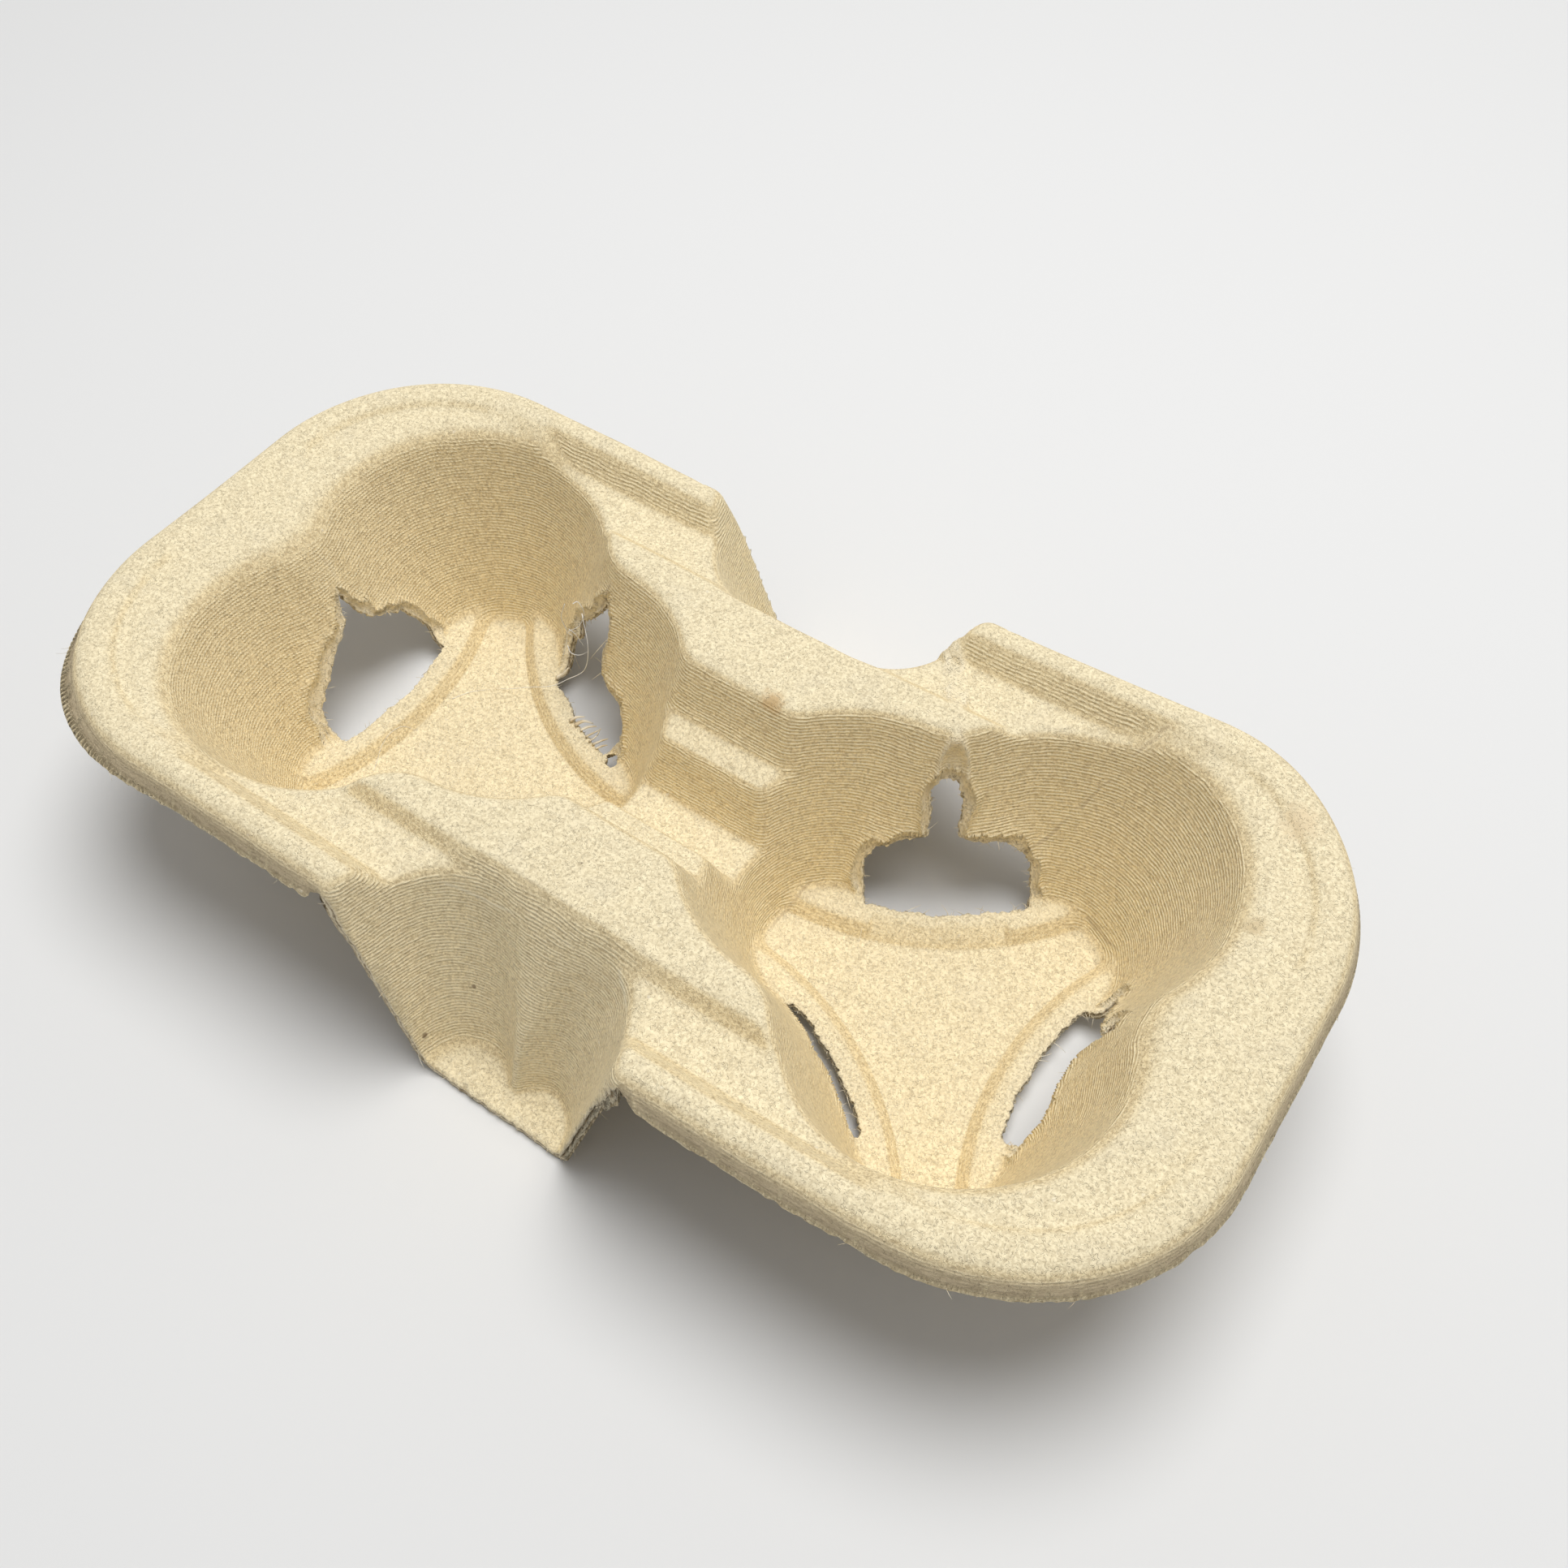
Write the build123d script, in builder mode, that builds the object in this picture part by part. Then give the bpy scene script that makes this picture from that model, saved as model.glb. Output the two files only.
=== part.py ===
from build123d import *
from math import atan2, cos, degrees, hypot, radians, sin, sqrt, tan
import os

# A carrier for two cups, moulded as one sheet of paper pulp.
# X runs along the carrier, Y across it and Z up. The origin is on the table, under its middle.
# Every form is first drawn as the open space above the sheet. The same space, grown by the
# sheet's thickness, gives the underside, so the sheet keeps one thickness everywhere.

# Sheet and rim
wall = 1.8
length = 208.0
width = 103.6
corner_radius = 36.0
rim_height = 42.8
lip_drop = 5.3
rim_radius = 4.2
crest_width = 7.0
flange_drop = 1.3
flange_slope = 45.0

# Middle: a stepped channel between two ridges, and a trough between each ridge and the rim. Its
# levels are drops below the top of the rim.
channel_floor_width = 7.8
channel_drop = 25.6
ledge_drop = 14.7
ledge_outer_drop = 13.4
ledge_inner_span = 15.6
ledge_outer_span = 25.0
ridge_drop = 2.5
ridge_inner_span = 33.2
ridge_outer_span = 64.0
trough_drop = 5.4
trough_inner_span = 69.0
trough_outer_span = 85.6
rim_inner_span = 92.0
trough_length = 114.0
trough_ramp = 7.0
edge_radius = 1.6
ridge_radius = 2.4
least_radius = 0.4

# Cup pockets: three lobes and three waists, wider at the brim than at the foot
pocket_pitch = 100.6
foot_lobe_radius = 11.5
foot_lobe_offset = 21.5
foot_waist_radius = 52.0
brim_drop = 0.8
brim_lobe_radius = 27.0
brim_lobe_offset = 18.5
brim_waist_radius = 8.0
roll_height = 3.4
roll_width = 2.6
roll_steps = (0, 0.6, 1.3, 2)
waist_turns = (0, 120, 240)
lobe_turn = 60

# Raised bead round the flat floor of each pocket, along its three waists, and the bevel between
# floor and wall
bead_height = 2.8
bead_width = 6.0
bead_slope_width = 2.2
foot_bevel = 1.2

# Side notches: two hollows side by side, which meet in a rib and stand on a tab
tab_span = 108.6
apron_length = 67.0
notch_foot_spread = 6.2
notch_foot_setback = 53.4
notch_foot_radius = 6.5
notch_brim_spread = 10.8
notch_brim_setback = 47.1
notch_brim_radius = 15.0
notch_flare = 8.0

# Torn slots in the waists. Each starts at the bead and rises up the wall, with a narrow stem
# above it. Sizes go across the slot to the left and right, seen from the pocket's middle, and
# up from the table.
stem_width = 5.0
right_outer_slot = {"left": 15.5, "right": 14.0, "side_height": 10.0, "height": 16.5, "stem": 23.0}
right_far_slot = {"left": 13.0, "right": 16.5, "side_height": 12.0, "height": 18.0, "stem": 30.0}
right_near_slot = {"left": 13.5, "right": 12.0, "side_height": 6.5, "height": 10.0, "stem": 11.5}
left_outer_slot = {"left": 14.5, "right": 14.0, "side_height": 11.0, "height": 19.0, "stem": 26.0}
left_far_slot = {"left": 14.0, "right": 10.5, "side_height": 12.0, "height": 17.0, "stem": 29.0}
left_near_slot = {"left": 13.0, "right": 12.0, "side_height": 9.0, "height": 13.0, "stem": 15.0}
slot_corner = 1.5
slot_reach = 36.0

# Cutting shapes run past the sheet by this much
clear = 8.0

# Levels above the table, and bevels that keep clear of an arc inside them
lip_height = rim_height - lip_drop
flange_height = rim_height - flange_drop
ridge_height = rim_height - ridge_drop
trough_height = rim_height - trough_drop
brim_height = rim_height - brim_drop
bevel_share = 2 - sqrt(2)


def angle_at(run, rise):
    """Lean of a wall from upright, in radians."""
    return atan2(abs(run), rise)


def grown(points, skin):
    """A profile drawn left to right, moved below itself by skin and kept parallel."""
    moved = []
    runs = [(b[0] - a[0], b[1] - a[1]) for a, b in zip(points, points[1:])]
    normals = [(dz / hypot(dy, dz), -dy / hypot(dy, dz)) for dy, dz in runs]
    normals = [normals[0]] + normals + [normals[-1]]
    for (y, z), before, after in zip(points, normals, normals[1:]):
        share = skin / (1 + before[0] * after[0] + before[1] * after[1])
        moved.append((y + share * (before[0] + after[0]), z + share * (before[1] + after[1])))
    return moved


def flange_space(skin):
    """Shallow step inside the rim's crest."""
    lean = radians(flange_slope)
    with BuildPart() as space:
        for level in (flange_height - skin, rim_height + clear):
            inset = crest_width - (level - rim_height) * tan(lean) - skin / cos(lean)
            with BuildSketch(Plane.XY.offset(level)):
                RectangleRounded(length - 2 * inset, width - 2 * inset, corner_radius - inset)
        loft(ruled=True)
    return space.part


def middle_space(skin):
    """Channel, ridges and troughs, as one profile across the carrier."""
    top = rim_height + clear
    lean = (rim_inner_span - trough_outer_span) / 2 / (rim_height - trough_height)
    half = [
        (channel_floor_width / 2, rim_height - channel_drop, edge_radius + skin),
        (ledge_inner_span / 2, rim_height - ledge_drop, max(edge_radius - skin, least_radius)),
        (ledge_outer_span / 2, rim_height - ledge_outer_drop, edge_radius + skin),
        (ridge_inner_span / 2, ridge_height, max(ridge_radius - skin, least_radius)),
        (ridge_outer_span / 2, ridge_height, max(ridge_radius - skin, least_radius)),
        (trough_inner_span / 2, trough_height, edge_radius),
        (trough_outer_span / 2, trough_height, edge_radius + skin),
    ]
    end = (rim_inner_span / 2 + lean * clear, top)
    right = [(y, z) for y, z, radius in half] + [end]
    left = [(-y, z) for y, z in reversed(right)]
    radii = [radius for y, z, radius in half]
    radii = radii[::-1] + radii
    profile = grown(left + right, skin)
    ramp_rise = flange_height - trough_height
    ramp_end = trough_length / 2 + trough_ramp * (top - trough_height) / ramp_rise
    drop = skin / cos(angle_at(ramp_rise, trough_ramp))
    with BuildPart() as space:
        with BuildSketch(Plane.YZ):
            with BuildLine():
                FilletPolyline(*profile, radius=radii)
                Line(profile[-1], profile[0])
            make_face()
        extrude(amount=ramp_end, both=True)
        with BuildSketch(Plane.XZ):
            for side in (-1, 1):
                with BuildLine():
                    Polyline(
                        (side * trough_length / 2, trough_height - drop),
                        (side * ramp_end, top - drop),
                        (side * ramp_end, 0),
                        (side * trough_length / 2, 0),
                        close=True,
                    )
                make_face()
        extrude(amount=width, both=True, mode=Mode.SUBTRACT)
    return space.part


def waist_distance(lobe_radius, lobe_offset, waist_radius):
    """Distance from a pocket's middle to the centre of a waist arc that touches its two lobes."""
    across = lobe_offset * sin(radians(lobe_turn))
    along = lobe_offset * cos(radians(lobe_turn))
    return along + sqrt((lobe_radius + waist_radius) ** 2 - across**2)


def trefoil(lobe_radius, lobe_offset, waist_radius):
    """Outline of a pocket: three lobe arcs joined by three waist arcs that touch them."""
    distance = waist_distance(lobe_radius, lobe_offset, waist_radius)
    share = lobe_radius / (lobe_radius + waist_radius)
    with BuildSketch() as outline:
        with BuildLine():
            for turn in waist_turns:
                waist_centre = Vector(distance, 0).rotate(Axis.Z, turn)
                joints = []
                for side in (-lobe_turn, lobe_turn):
                    lobe_centre = Vector(lobe_offset, 0).rotate(Axis.Z, turn + side)
                    joints.append(lobe_centre + (waist_centre - lobe_centre) * share)
                waist = Vector(distance - waist_radius, 0).rotate(Axis.Z, turn)
                top = Vector(lobe_offset + lobe_radius, 0).rotate(Axis.Z, turn + lobe_turn)
                following = joints[0].rotate(Axis.Z, 2 * lobe_turn)
                ThreePointArc(joints[0], waist, joints[1])
                ThreePointArc(joints[1], top, following)
        make_face()
    return outline.sketch


def pocket_section(level, skin):
    """Lobe radius, lobe offset and waist radius of a pocket at a level."""
    share = (level - wall) / (brim_height - wall)
    lobe_radius = foot_lobe_radius + share * (brim_lobe_radius - foot_lobe_radius)
    lobe_offset = foot_lobe_offset + share * (brim_lobe_offset - foot_lobe_offset)
    waist_radius = foot_waist_radius + share * (brim_waist_radius - foot_waist_radius)
    reach = brim_lobe_radius + brim_lobe_offset - foot_lobe_radius - foot_lobe_offset
    growth = skin / cos(angle_at(reach, brim_height - wall))
    return lobe_radius + growth, lobe_offset, waist_radius - growth


def pocket_space(skin):
    """One cup pocket about its own axis, with the bead left standing on its floor."""
    roll_start = brim_height - roll_height
    foot = waist_distance(foot_lobe_radius, foot_lobe_offset, foot_waist_radius)
    bead_lean = angle_at(bead_slope_width, bead_height)
    shrink = skin / cos(bead_lean)
    bead_foot = foot_waist_radius + bead_width - shrink
    bead_top = bead_foot - bead_slope_width
    bevel = foot_bevel + skin * bevel_share
    floor = wall - skin
    with BuildPart() as space:
        radius, offset_, waist = pocket_section(floor, skin)
        with BuildSketch(Plane.XY.offset(floor)):
            add(trefoil(radius - bevel, offset_, waist + bevel))
        with BuildSketch(Plane.XY.offset(floor + bevel)):
            add(trefoil(*pocket_section(floor + bevel, skin)))
        loft(ruled=True)
        for level in (floor + bevel, roll_start):
            with BuildSketch(Plane.XY.offset(level)):
                add(trefoil(*pocket_section(level, skin)))
        loft(ruled=True)
        for steps in zip(roll_steps, roll_steps[1:]):
            for share in steps:
                radius, offset_, waist = pocket_section(roll_start + share * roll_height, skin)
                spread = roll_width * share**2
                with BuildSketch(Plane.XY.offset(roll_start + share * roll_height)):
                    add(trefoil(radius + spread, offset_, max(waist - spread, least_radius)))
            loft(ruled=True)
        slope = (bead_foot - bead_top) / bead_height
        for turn in waist_turns:
            with Locations(Location((0, 0, floor), (0, 0, turn)) * Location((foot, 0, 0))):
                Cone(
                    bead_foot + slope * skin / 2,
                    bead_top + slope * skin / 2,
                    bead_height,
                    align=(Align.CENTER, Align.CENTER, Align.MIN),
                    mode=Mode.SUBTRACT,
                )
    return space.part


def notch_outline(spread, setback, radius):
    """Two hollows that meet in a rib at x = 0, with walls that flare out to the side."""
    flare = radians(notch_flare)
    mouth = tab_span / 2 + clear
    rib = (0, setback - sqrt(radius**2 - spread**2))
    lean_x = spread + radius * cos(flare)
    lean_y = setback - radius * sin(flare)
    mouth_x = lean_x + (mouth - lean_y) * tan(flare)
    with BuildSketch() as outline:
        with BuildLine():
            for side in (-1, 1):
                ThreePointArc(rib, (side * spread, setback - radius), (side * lean_x, lean_y))
                Line((side * lean_x, lean_y), (side * mouth_x, mouth))
            Line((-mouth_x, mouth), (mouth_x, mouth))
        make_face()
    return outline.sketch


def notch_space(skin):
    """One side notch, open to the side and above, standing on its tab."""
    with BuildPart() as space:
        for level in (wall - skin, rim_height + clear):
            share = (level - wall) / (rim_height - wall)
            setback = notch_foot_setback + share * (notch_brim_setback - notch_foot_setback)
            spread = notch_foot_spread + share * (notch_brim_spread - notch_foot_spread)
            radius = notch_foot_radius + share * (notch_brim_radius - notch_foot_radius)
            reach = notch_foot_setback - notch_foot_radius - notch_brim_setback + notch_brim_radius
            growth = skin / cos(angle_at(reach, rim_height - wall))
            with BuildSketch(Plane.XY.offset(level)):
                add(notch_outline(spread, setback, radius + growth))
        loft(ruled=True)
    return space.part


def open_space(skin):
    """All the space above the sheet, grown by skin."""
    pocket = pocket_space(skin)
    notch = notch_space(skin)
    with BuildPart() as space:
        add(flange_space(skin))
        add(middle_space(skin))
        add(pocket.moved(Location((pocket_pitch / 2, 0, 0))))
        add(pocket.moved(Location((-pocket_pitch / 2, 0, 0), (0, 0, 180))))
        add(notch)
        add(notch.mirror(Plane.XZ))
    return space.part


def rim_block(skin):
    """Solid block under the rim's crest, with square edges."""
    with BuildPart() as block:
        with BuildSketch():
            RectangleRounded(length - 2 * skin, width - 2 * skin, corner_radius - skin)
        extrude(amount=rim_height - skin)
    return block.part


def slot_cut(slot, turn):
    """A torn slot through one waist of a pocket that stands about the Z axis."""
    stem = stem_width / 2
    foot = waist_distance(foot_lobe_radius, foot_lobe_offset, foot_waist_radius)
    with BuildPart() as cut:
        with BuildSketch(Plane.YZ):
            with BuildLine():
                FilletPolyline(
                    (-slot["right"], -clear),
                    (-slot["right"], slot["side_height"]),
                    (-stem - slot_corner, slot["height"]),
                    (-stem, slot["stem"]),
                    (stem, slot["stem"]),
                    (stem + slot_corner, slot["height"]),
                    (slot["left"], slot["side_height"]),
                    (slot["left"], -clear),
                    radius=slot_corner,
                )
                Line((slot["left"], -clear), (-slot["right"], -clear))
            make_face()
        extrude(amount=slot_reach)
        with Locations((foot, 0, 0)):
            Cylinder(foot_waist_radius, 2 * (rim_height + clear), mode=Mode.INTERSECT)
    return cut.part.rotate(Axis.Z, turn)


upper_space = open_space(0)
lower_space = open_space(wall)
apron_angle = degrees(atan2(lip_height, (tab_span - width) / 2))
slots = (
    (right_outer_slot, left_outer_slot),
    (right_far_slot, left_far_slot),
    (right_near_slot, left_near_slot),
)

with BuildPart() as hollow_below:
    add(rim_block(wall))
    chamfer(hollow_below.faces().sort_by(Axis.Z)[-1].edges(), (rim_radius - wall) * bevel_share)
    Box(
        length + 2 * clear,
        tab_span + 2 * clear,
        lip_height,
        align=(Align.CENTER, Align.CENTER, Align.MIN),
    )
    add(lower_space, mode=Mode.SUBTRACT)

with BuildPart() as cup_carrier:
    add(rim_block(0))
    fillet(cup_carrier.faces().sort_by(Axis.Z)[-1].edges(), rim_radius)
    with BuildSketch(Plane.YZ):
        Trapezoid(tab_span, lip_height, apron_angle, align=(Align.CENTER, Align.MIN))
    extrude(amount=apron_length / 2, both=True)
    add(upper_space, mode=Mode.SUBTRACT)
    add(hollow_below.part, mode=Mode.SUBTRACT)

    for turn, (right_slot, left_slot) in zip(waist_turns, slots):
        right_cut = slot_cut(right_slot, turn).moved(Location((pocket_pitch / 2, 0, 0)))
        left_cut = slot_cut(left_slot, turn).moved(Location((pocket_pitch / 2, 0, 0)))
        add(right_cut, mode=Mode.SUBTRACT)
        add(left_cut.mirror(Plane.YZ), mode=Mode.SUBTRACT)

cup_carrier.part.label = "cup_carrier"
os.makedirs("parts", exist_ok=True)
export_step(cup_carrier.part, "parts/cup_carrier.step")
print("cup_carrier", round(cup_carrier.part.volume), "cubic millimetres of pulp")
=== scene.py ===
# %% [markdown]
# # A moulded pulp carrier for two cups
#
# The carrier is one sheet of paper pulp. Wet fibre was sucked onto a wire-covered mould, dried, and
# trimmed round its rim. Two pockets hold the cups, a stepped channel joins them, and a notch on
# each side leaves room for a thumb. This lesson rebuilds the sheet as one mesh, tears it where the
# real one is torn, and gives it the look of dry fibre.

from math import cos, pi, radians, sin, tan

import bpy
import numpy as np
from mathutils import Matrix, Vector
from mathutils.geometry import delaunay_2d_cdt


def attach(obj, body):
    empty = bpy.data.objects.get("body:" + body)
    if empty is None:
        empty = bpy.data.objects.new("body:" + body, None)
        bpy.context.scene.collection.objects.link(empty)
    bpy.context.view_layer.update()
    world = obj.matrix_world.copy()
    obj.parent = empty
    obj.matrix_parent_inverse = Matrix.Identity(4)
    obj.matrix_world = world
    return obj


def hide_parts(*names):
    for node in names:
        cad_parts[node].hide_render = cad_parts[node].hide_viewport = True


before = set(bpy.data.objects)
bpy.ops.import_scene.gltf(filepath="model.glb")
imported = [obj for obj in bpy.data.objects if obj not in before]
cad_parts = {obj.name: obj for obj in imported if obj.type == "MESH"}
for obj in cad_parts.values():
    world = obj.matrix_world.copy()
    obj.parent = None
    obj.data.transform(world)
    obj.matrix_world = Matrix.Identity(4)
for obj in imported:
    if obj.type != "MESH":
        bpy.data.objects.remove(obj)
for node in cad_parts.values():
    node.data.update()
bpy.context.view_layer.update()

# %% [markdown]
# ## Sizes
#
# All lengths are in millimetres, and X runs along the carrier, Y across it and Z up from the
# table. Blender works in metres, so the mesh is scaled once, when it is made. Keeping the maker's
# sizes in millimetres makes them easy to compare with a real carrier on the desk.

# %% Sizes of the sheet, the rim and the middle
metre = 0.001
wall = 1.8
length, width, corner_radius = 208.0, 103.6, 36.0
rim_height, lip_height = 42.8, 37.5
lip_draft = 15.0
rim_roll = 3.4
crest_width, flange_height, flange_width = 7.0, 41.5, 8.3
half_middle = [
    (-60.0, 17.2, 0.0),
    (3.9, 17.2, 1.6),
    (7.8, 28.1, 1.4),
    (12.5, 29.4, 2.2),
    (16.6, 40.3, 2.6),
    (32.2, 40.3, 2.2),
    (34.7, 37.4, 2.2),
    (42.8, 37.4, 2.2),
    (46.0, 42.8, 0.0),
    (60.0, 66.4, 0.0),
]  # across, up and the radius of the corner
trough_height, trough_end, trough_ramp = 37.4, 57.0, 7.0
print("rim", length, "by", width, "and", rim_height, "high")

# %% Sizes of the pockets, the bead and the notches
pocket_middle = 50.3
foot_level, brim_level = 1.8, 42.0
foot_trefoil = (11.5, 21.5, 52.0)  # radius of a lobe, its offset and radius of a waist
brim_trefoil = (27.0, 18.5, 8.0)
pocket_lean = 17.6
bead_height, bead_outer, bead_inner = 4.6, 58.2, 56.0
notch_foot = (7.0, 54.0, 7.6)  # half the spread of two hollows, their setback and radius
notch_brim = (10.82, 47.06, 15.0)
notch_flare, notch_lean = 15.0, 18.0
tab_edge, apron_edge = 54.3, 51.8
print("pockets", 2 * pocket_middle, "apart")

# %% [markdown]
# ## Forms as air
#
# Each form is a function that says how deep a point lies in the air above the sheet: positive in
# the air, zero on the sheet and negative inside it. Two hollows that meet are joined by taking the
# larger value, and the edge between them is rounded by a small circle. Because the value is a true
# distance, the underside is simply the place where it equals minus the sheet's thickness. Drawing
# each face by hand would not keep the thickness even round so many bends.


# %% Join two hollows, with a rounded edge between them
def either(first, second, radius):
    """Air of both hollows together; the solid edge where they meet is rounded."""
    inside = np.minimum(-radius, np.maximum(first, second))
    return inside + np.hypot(np.maximum(radius + first, 0), np.maximum(radius + second, 0))


def both(first, second, radius):
    """Air that lies in both; the inner corner where they meet is filled to a radius."""
    outside = np.maximum(radius, np.minimum(first, second))
    return outside - np.hypot(np.maximum(radius - first, 0), np.maximum(radius - second, 0))


def ease(value):
    """Smooth step from 0 to 1."""
    value = np.clip(value, 0, 1)
    return value * value * (3 - 2 * value)


print("joined edge of two level faces", either(np.array([-1.0]), np.array([0.0]), 1.0))


# %% Draw a profile with rounded corners and measure distances to it
def rounded(corners, steps=7):
    """Line through corners (across, up, radius), each corner turned by an arc."""
    line = [corners[0][:2]]
    for before, corner, after in zip(corners, corners[1:], corners[2:]):
        here = np.array(corner[:2])
        back = np.array(before[:2]) - here
        ahead = np.array(after[:2]) - here
        back /= np.hypot(*back)
        ahead /= np.hypot(*ahead)
        turn = np.arccos(np.clip(back @ ahead, -1, 1))
        if corner[2] == 0 or turn > 3.1:
            line.append(tuple(here))
            continue
        reach = corner[2] / np.tan(turn / 2)
        middle = here + (back + ahead) / np.hypot(*(back + ahead)) * corner[2] / np.sin(turn / 2)
        start = here + back * reach - middle
        finish = here + ahead * reach - middle
        for share in np.linspace(0, 1, steps):
            arm = start * (1 - share) + finish * share
            line.append(tuple(middle + arm / np.hypot(*arm) * corner[2]))
    line.append(corners[-1][:2])
    return np.array(line)


class Profile:
    """Distance to a drawn profile, kept in a table so that it is quick to look up."""

    def __init__(self, corners, low, high, step=0.1):
        line = rounded(corners)
        self.low, self.high, self.step = np.array(low), np.array(high), step
        sides = [np.arange(low[k], high[k] + step, step) for k in (0, 1)]
        across, up = np.meshgrid(*sides, indexing="ij")
        near = np.full(across.shape, 1e9)
        for (x0, z0), (x1, z1) in zip(line, line[1:]):
            run, rise = x1 - x0, z1 - z0
            share = ((across - x0) * run + (up - z0) * rise) / (run * run + rise * rise + 1e-12)
            share = np.clip(share, 0, 1)
            near = np.minimum(near, np.hypot(across - x0 - share * run, up - z0 - share * rise))
        self.table = np.where(up > np.interp(across, line[:, 0], line[:, 1]), near, -near)

    def above(self, across, up):
        """Positive above the profile, negative below it."""
        inside_across = np.clip(across, self.low[0], self.high[0] - self.step)
        inside_up = np.clip(up, self.low[1], self.high[1] - self.step)
        a = (inside_across - self.low[0]) / self.step
        b = (inside_up - self.low[1]) / self.step
        i, j = a.astype(int), b.astype(int)
        a, b = a - i, b - j
        table = self.table
        level = (table[i, j] * (1 - a) + table[i + 1, j] * a) * (1 - b)
        level = level + (table[i, j + 1] * (1 - a) + table[i + 1, j + 1] * a) * b
        return level + (up - inside_up)


print("rounded middle profile has", len(rounded(half_middle)), "points")

# %% [markdown]
# ## Rim
#
# The rim is a rolled crest that drops to a trimmed lip outside and to a slightly lower flange
# inside. Its profile is the same all the way round, so it is drawn once, across the rim, and swept
# by measuring how far in from the outline a point lies.


# %% Rim: crest, lip and flange
def outline_depth(x, y):
    """How far inside the carrier's outline a point lies."""
    across = np.abs(x) - (length / 2 - corner_radius)
    along = np.abs(y) - (width / 2 - corner_radius)
    corner = np.hypot(np.maximum(across, 0), np.maximum(along, 0))
    return corner_radius - corner - np.minimum(np.maximum(across, along), 0)


lip_run = (rim_height - lip_height) * tan(radians(lip_draft))
skirt = lip_height * tan(radians(lip_draft))
rim_profile = Profile(
    [
        (-skirt, 0.0, 0.0),
        (lip_run, rim_height, rim_roll),
        (crest_width, rim_height, 3.0),
        (flange_width, flange_height - 0.2, 2.0),
        (flange_width + 3, flange_height, 4.0),
        (30.0, flange_height, 0.0),
    ],
    (-6.0, 20.0),
    (20.0, 48.0),
)


def rim_air(x, y, z):
    """Air outside and above the rim."""
    return rim_profile.above(outline_depth(x, y), z)


print("air 1 mm over the crest", rim_air(*np.array([[98.0], [0.0], [43.8]])))

# %% [markdown]
# ## Middle
#
# Between the pockets the sheet drops into a stepped channel, rises to two ridges and falls again
# to a shallow trough beside each rim. That is one profile across the carrier, ended by a ramp at
# each end of the troughs.

# %% Middle: channel, ledges, ridges and troughs
middle_profile = Profile(half_middle, (0.0, 10.0), (56.0, 48.0))
ramp_rise = flange_height - trough_height
ramp_slope = np.hypot(trough_ramp, ramp_rise)


def middle_air(x, y, z):
    """Air above the channel, the ridges and the troughs."""
    ramp = ((z - trough_height) * trough_ramp - (np.abs(x) - trough_end) * ramp_rise) / ramp_slope
    return both(middle_profile.above(np.abs(y), z), ramp, 1.5)


print("channel floor", middle_air(np.array([0.0]), np.array([0.0]), np.array([17.2])))

# %% [markdown]
# ## Pockets
#
# A pocket has three lobes and three waists. A cup's foot is held by the waists, and the lobes give
# the sheet its spring. At every level the outline is six arcs that touch, and the arcs' radii and
# places change evenly from foot to brim. On the floor, a low bead stiffens the foot of each waist.


# %% Pocket: three lobes and three waists
def trefoil_depth(x, y, lobe, offset, waist):
    """Depth inside a trefoil whose lobes point at 60, 180 and 300 degrees."""
    reach = offset / 2 + np.sqrt((lobe + waist) ** 2 - 0.75 * offset**2)
    turn = (np.arctan2(y, x) - pi / 3) % (2 * pi / 3)
    turn = np.minimum(turn, 2 * pi / 3 - turn)
    distance = np.hypot(x, y)
    along, aside = distance * np.cos(turn), distance * np.sin(turn)
    waist_along, waist_aside = reach * 0.5, reach * np.sqrt(0.75)
    beside_waist = (waist_along - offset) * aside - waist_aside * (along - offset)
    in_lobe = lobe - np.hypot(along - offset, aside)
    at_waist = np.hypot(along - waist_along, aside - waist_aside) - waist
    return np.where(beside_waist < 0, in_lobe, at_waist)


foot_lobe, foot_offset, foot_waist = foot_trefoil
waist_reach = foot_offset / 2 + np.sqrt((foot_lobe + foot_waist) ** 2 - 0.75 * foot_offset**2)
# For a pocket's side and a waist's angle: from and to which place the bead is crushed, how far
crushed_beads = {
    (1, 120): (-13.6, 11.6, 1.5),
    (1, -120): (-30, 11.7, 0.7),
    (1, 0): (-9.2, 30, 0.7),
}
bead_profile = Profile(
    [
        (30.0, bead_height, 0.0),
        (bead_inner, bead_height, 1.9),
        (bead_outer, foot_level, 0.5),
        (90.0, foot_level, 0.0),
    ],
    (45.0, -4.0),
    (70.0, 12.0),
)


def pocket_air(x, y, z, side):
    """Air in the right pocket (side 1) or in the left one (side -1)."""
    x = x * side - pocket_middle
    share = (z - foot_level) / (brim_level - foot_level)
    lobe, offset, waist = [a + share * (b - a) for a, b in zip(foot_trefoil, brim_trefoil)]
    walls = trefoil_depth(x, y, lobe, offset, np.maximum(waist, 1.0)) * cos(radians(pocket_lean))
    from_waist = np.full(np.shape(x), 1e9)
    for degrees in (0, 120, -120):
        turn = radians(degrees)
        away = np.hypot(x - waist_reach * cos(turn), y - waist_reach * sin(turn))
        low, high, amount = crushed_beads.get((side, degrees), (0, 0, 0))
        across = y * cos(turn) - x * sin(turn)
        crushed = ease((across - low) / 1.2) * ease((high - across) / 1.2) * amount
        from_waist = np.minimum(from_waist, away + crushed * (1 - ease((away - 54) / 4.5)))
    return both(walls, bead_profile.above(from_waist, z), 2.0)


print("pocket floor", pocket_air(np.array([50.3]), np.array([0.0]), np.array([1.8]), 1))

# %% [markdown]
# ## Side notches
#
# Each notch is two half-round hollows side by side, which meet in a soft rib. They widen upwards
# and flare out to the side, and their floor is a small flat tab that stands on the table.


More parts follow.
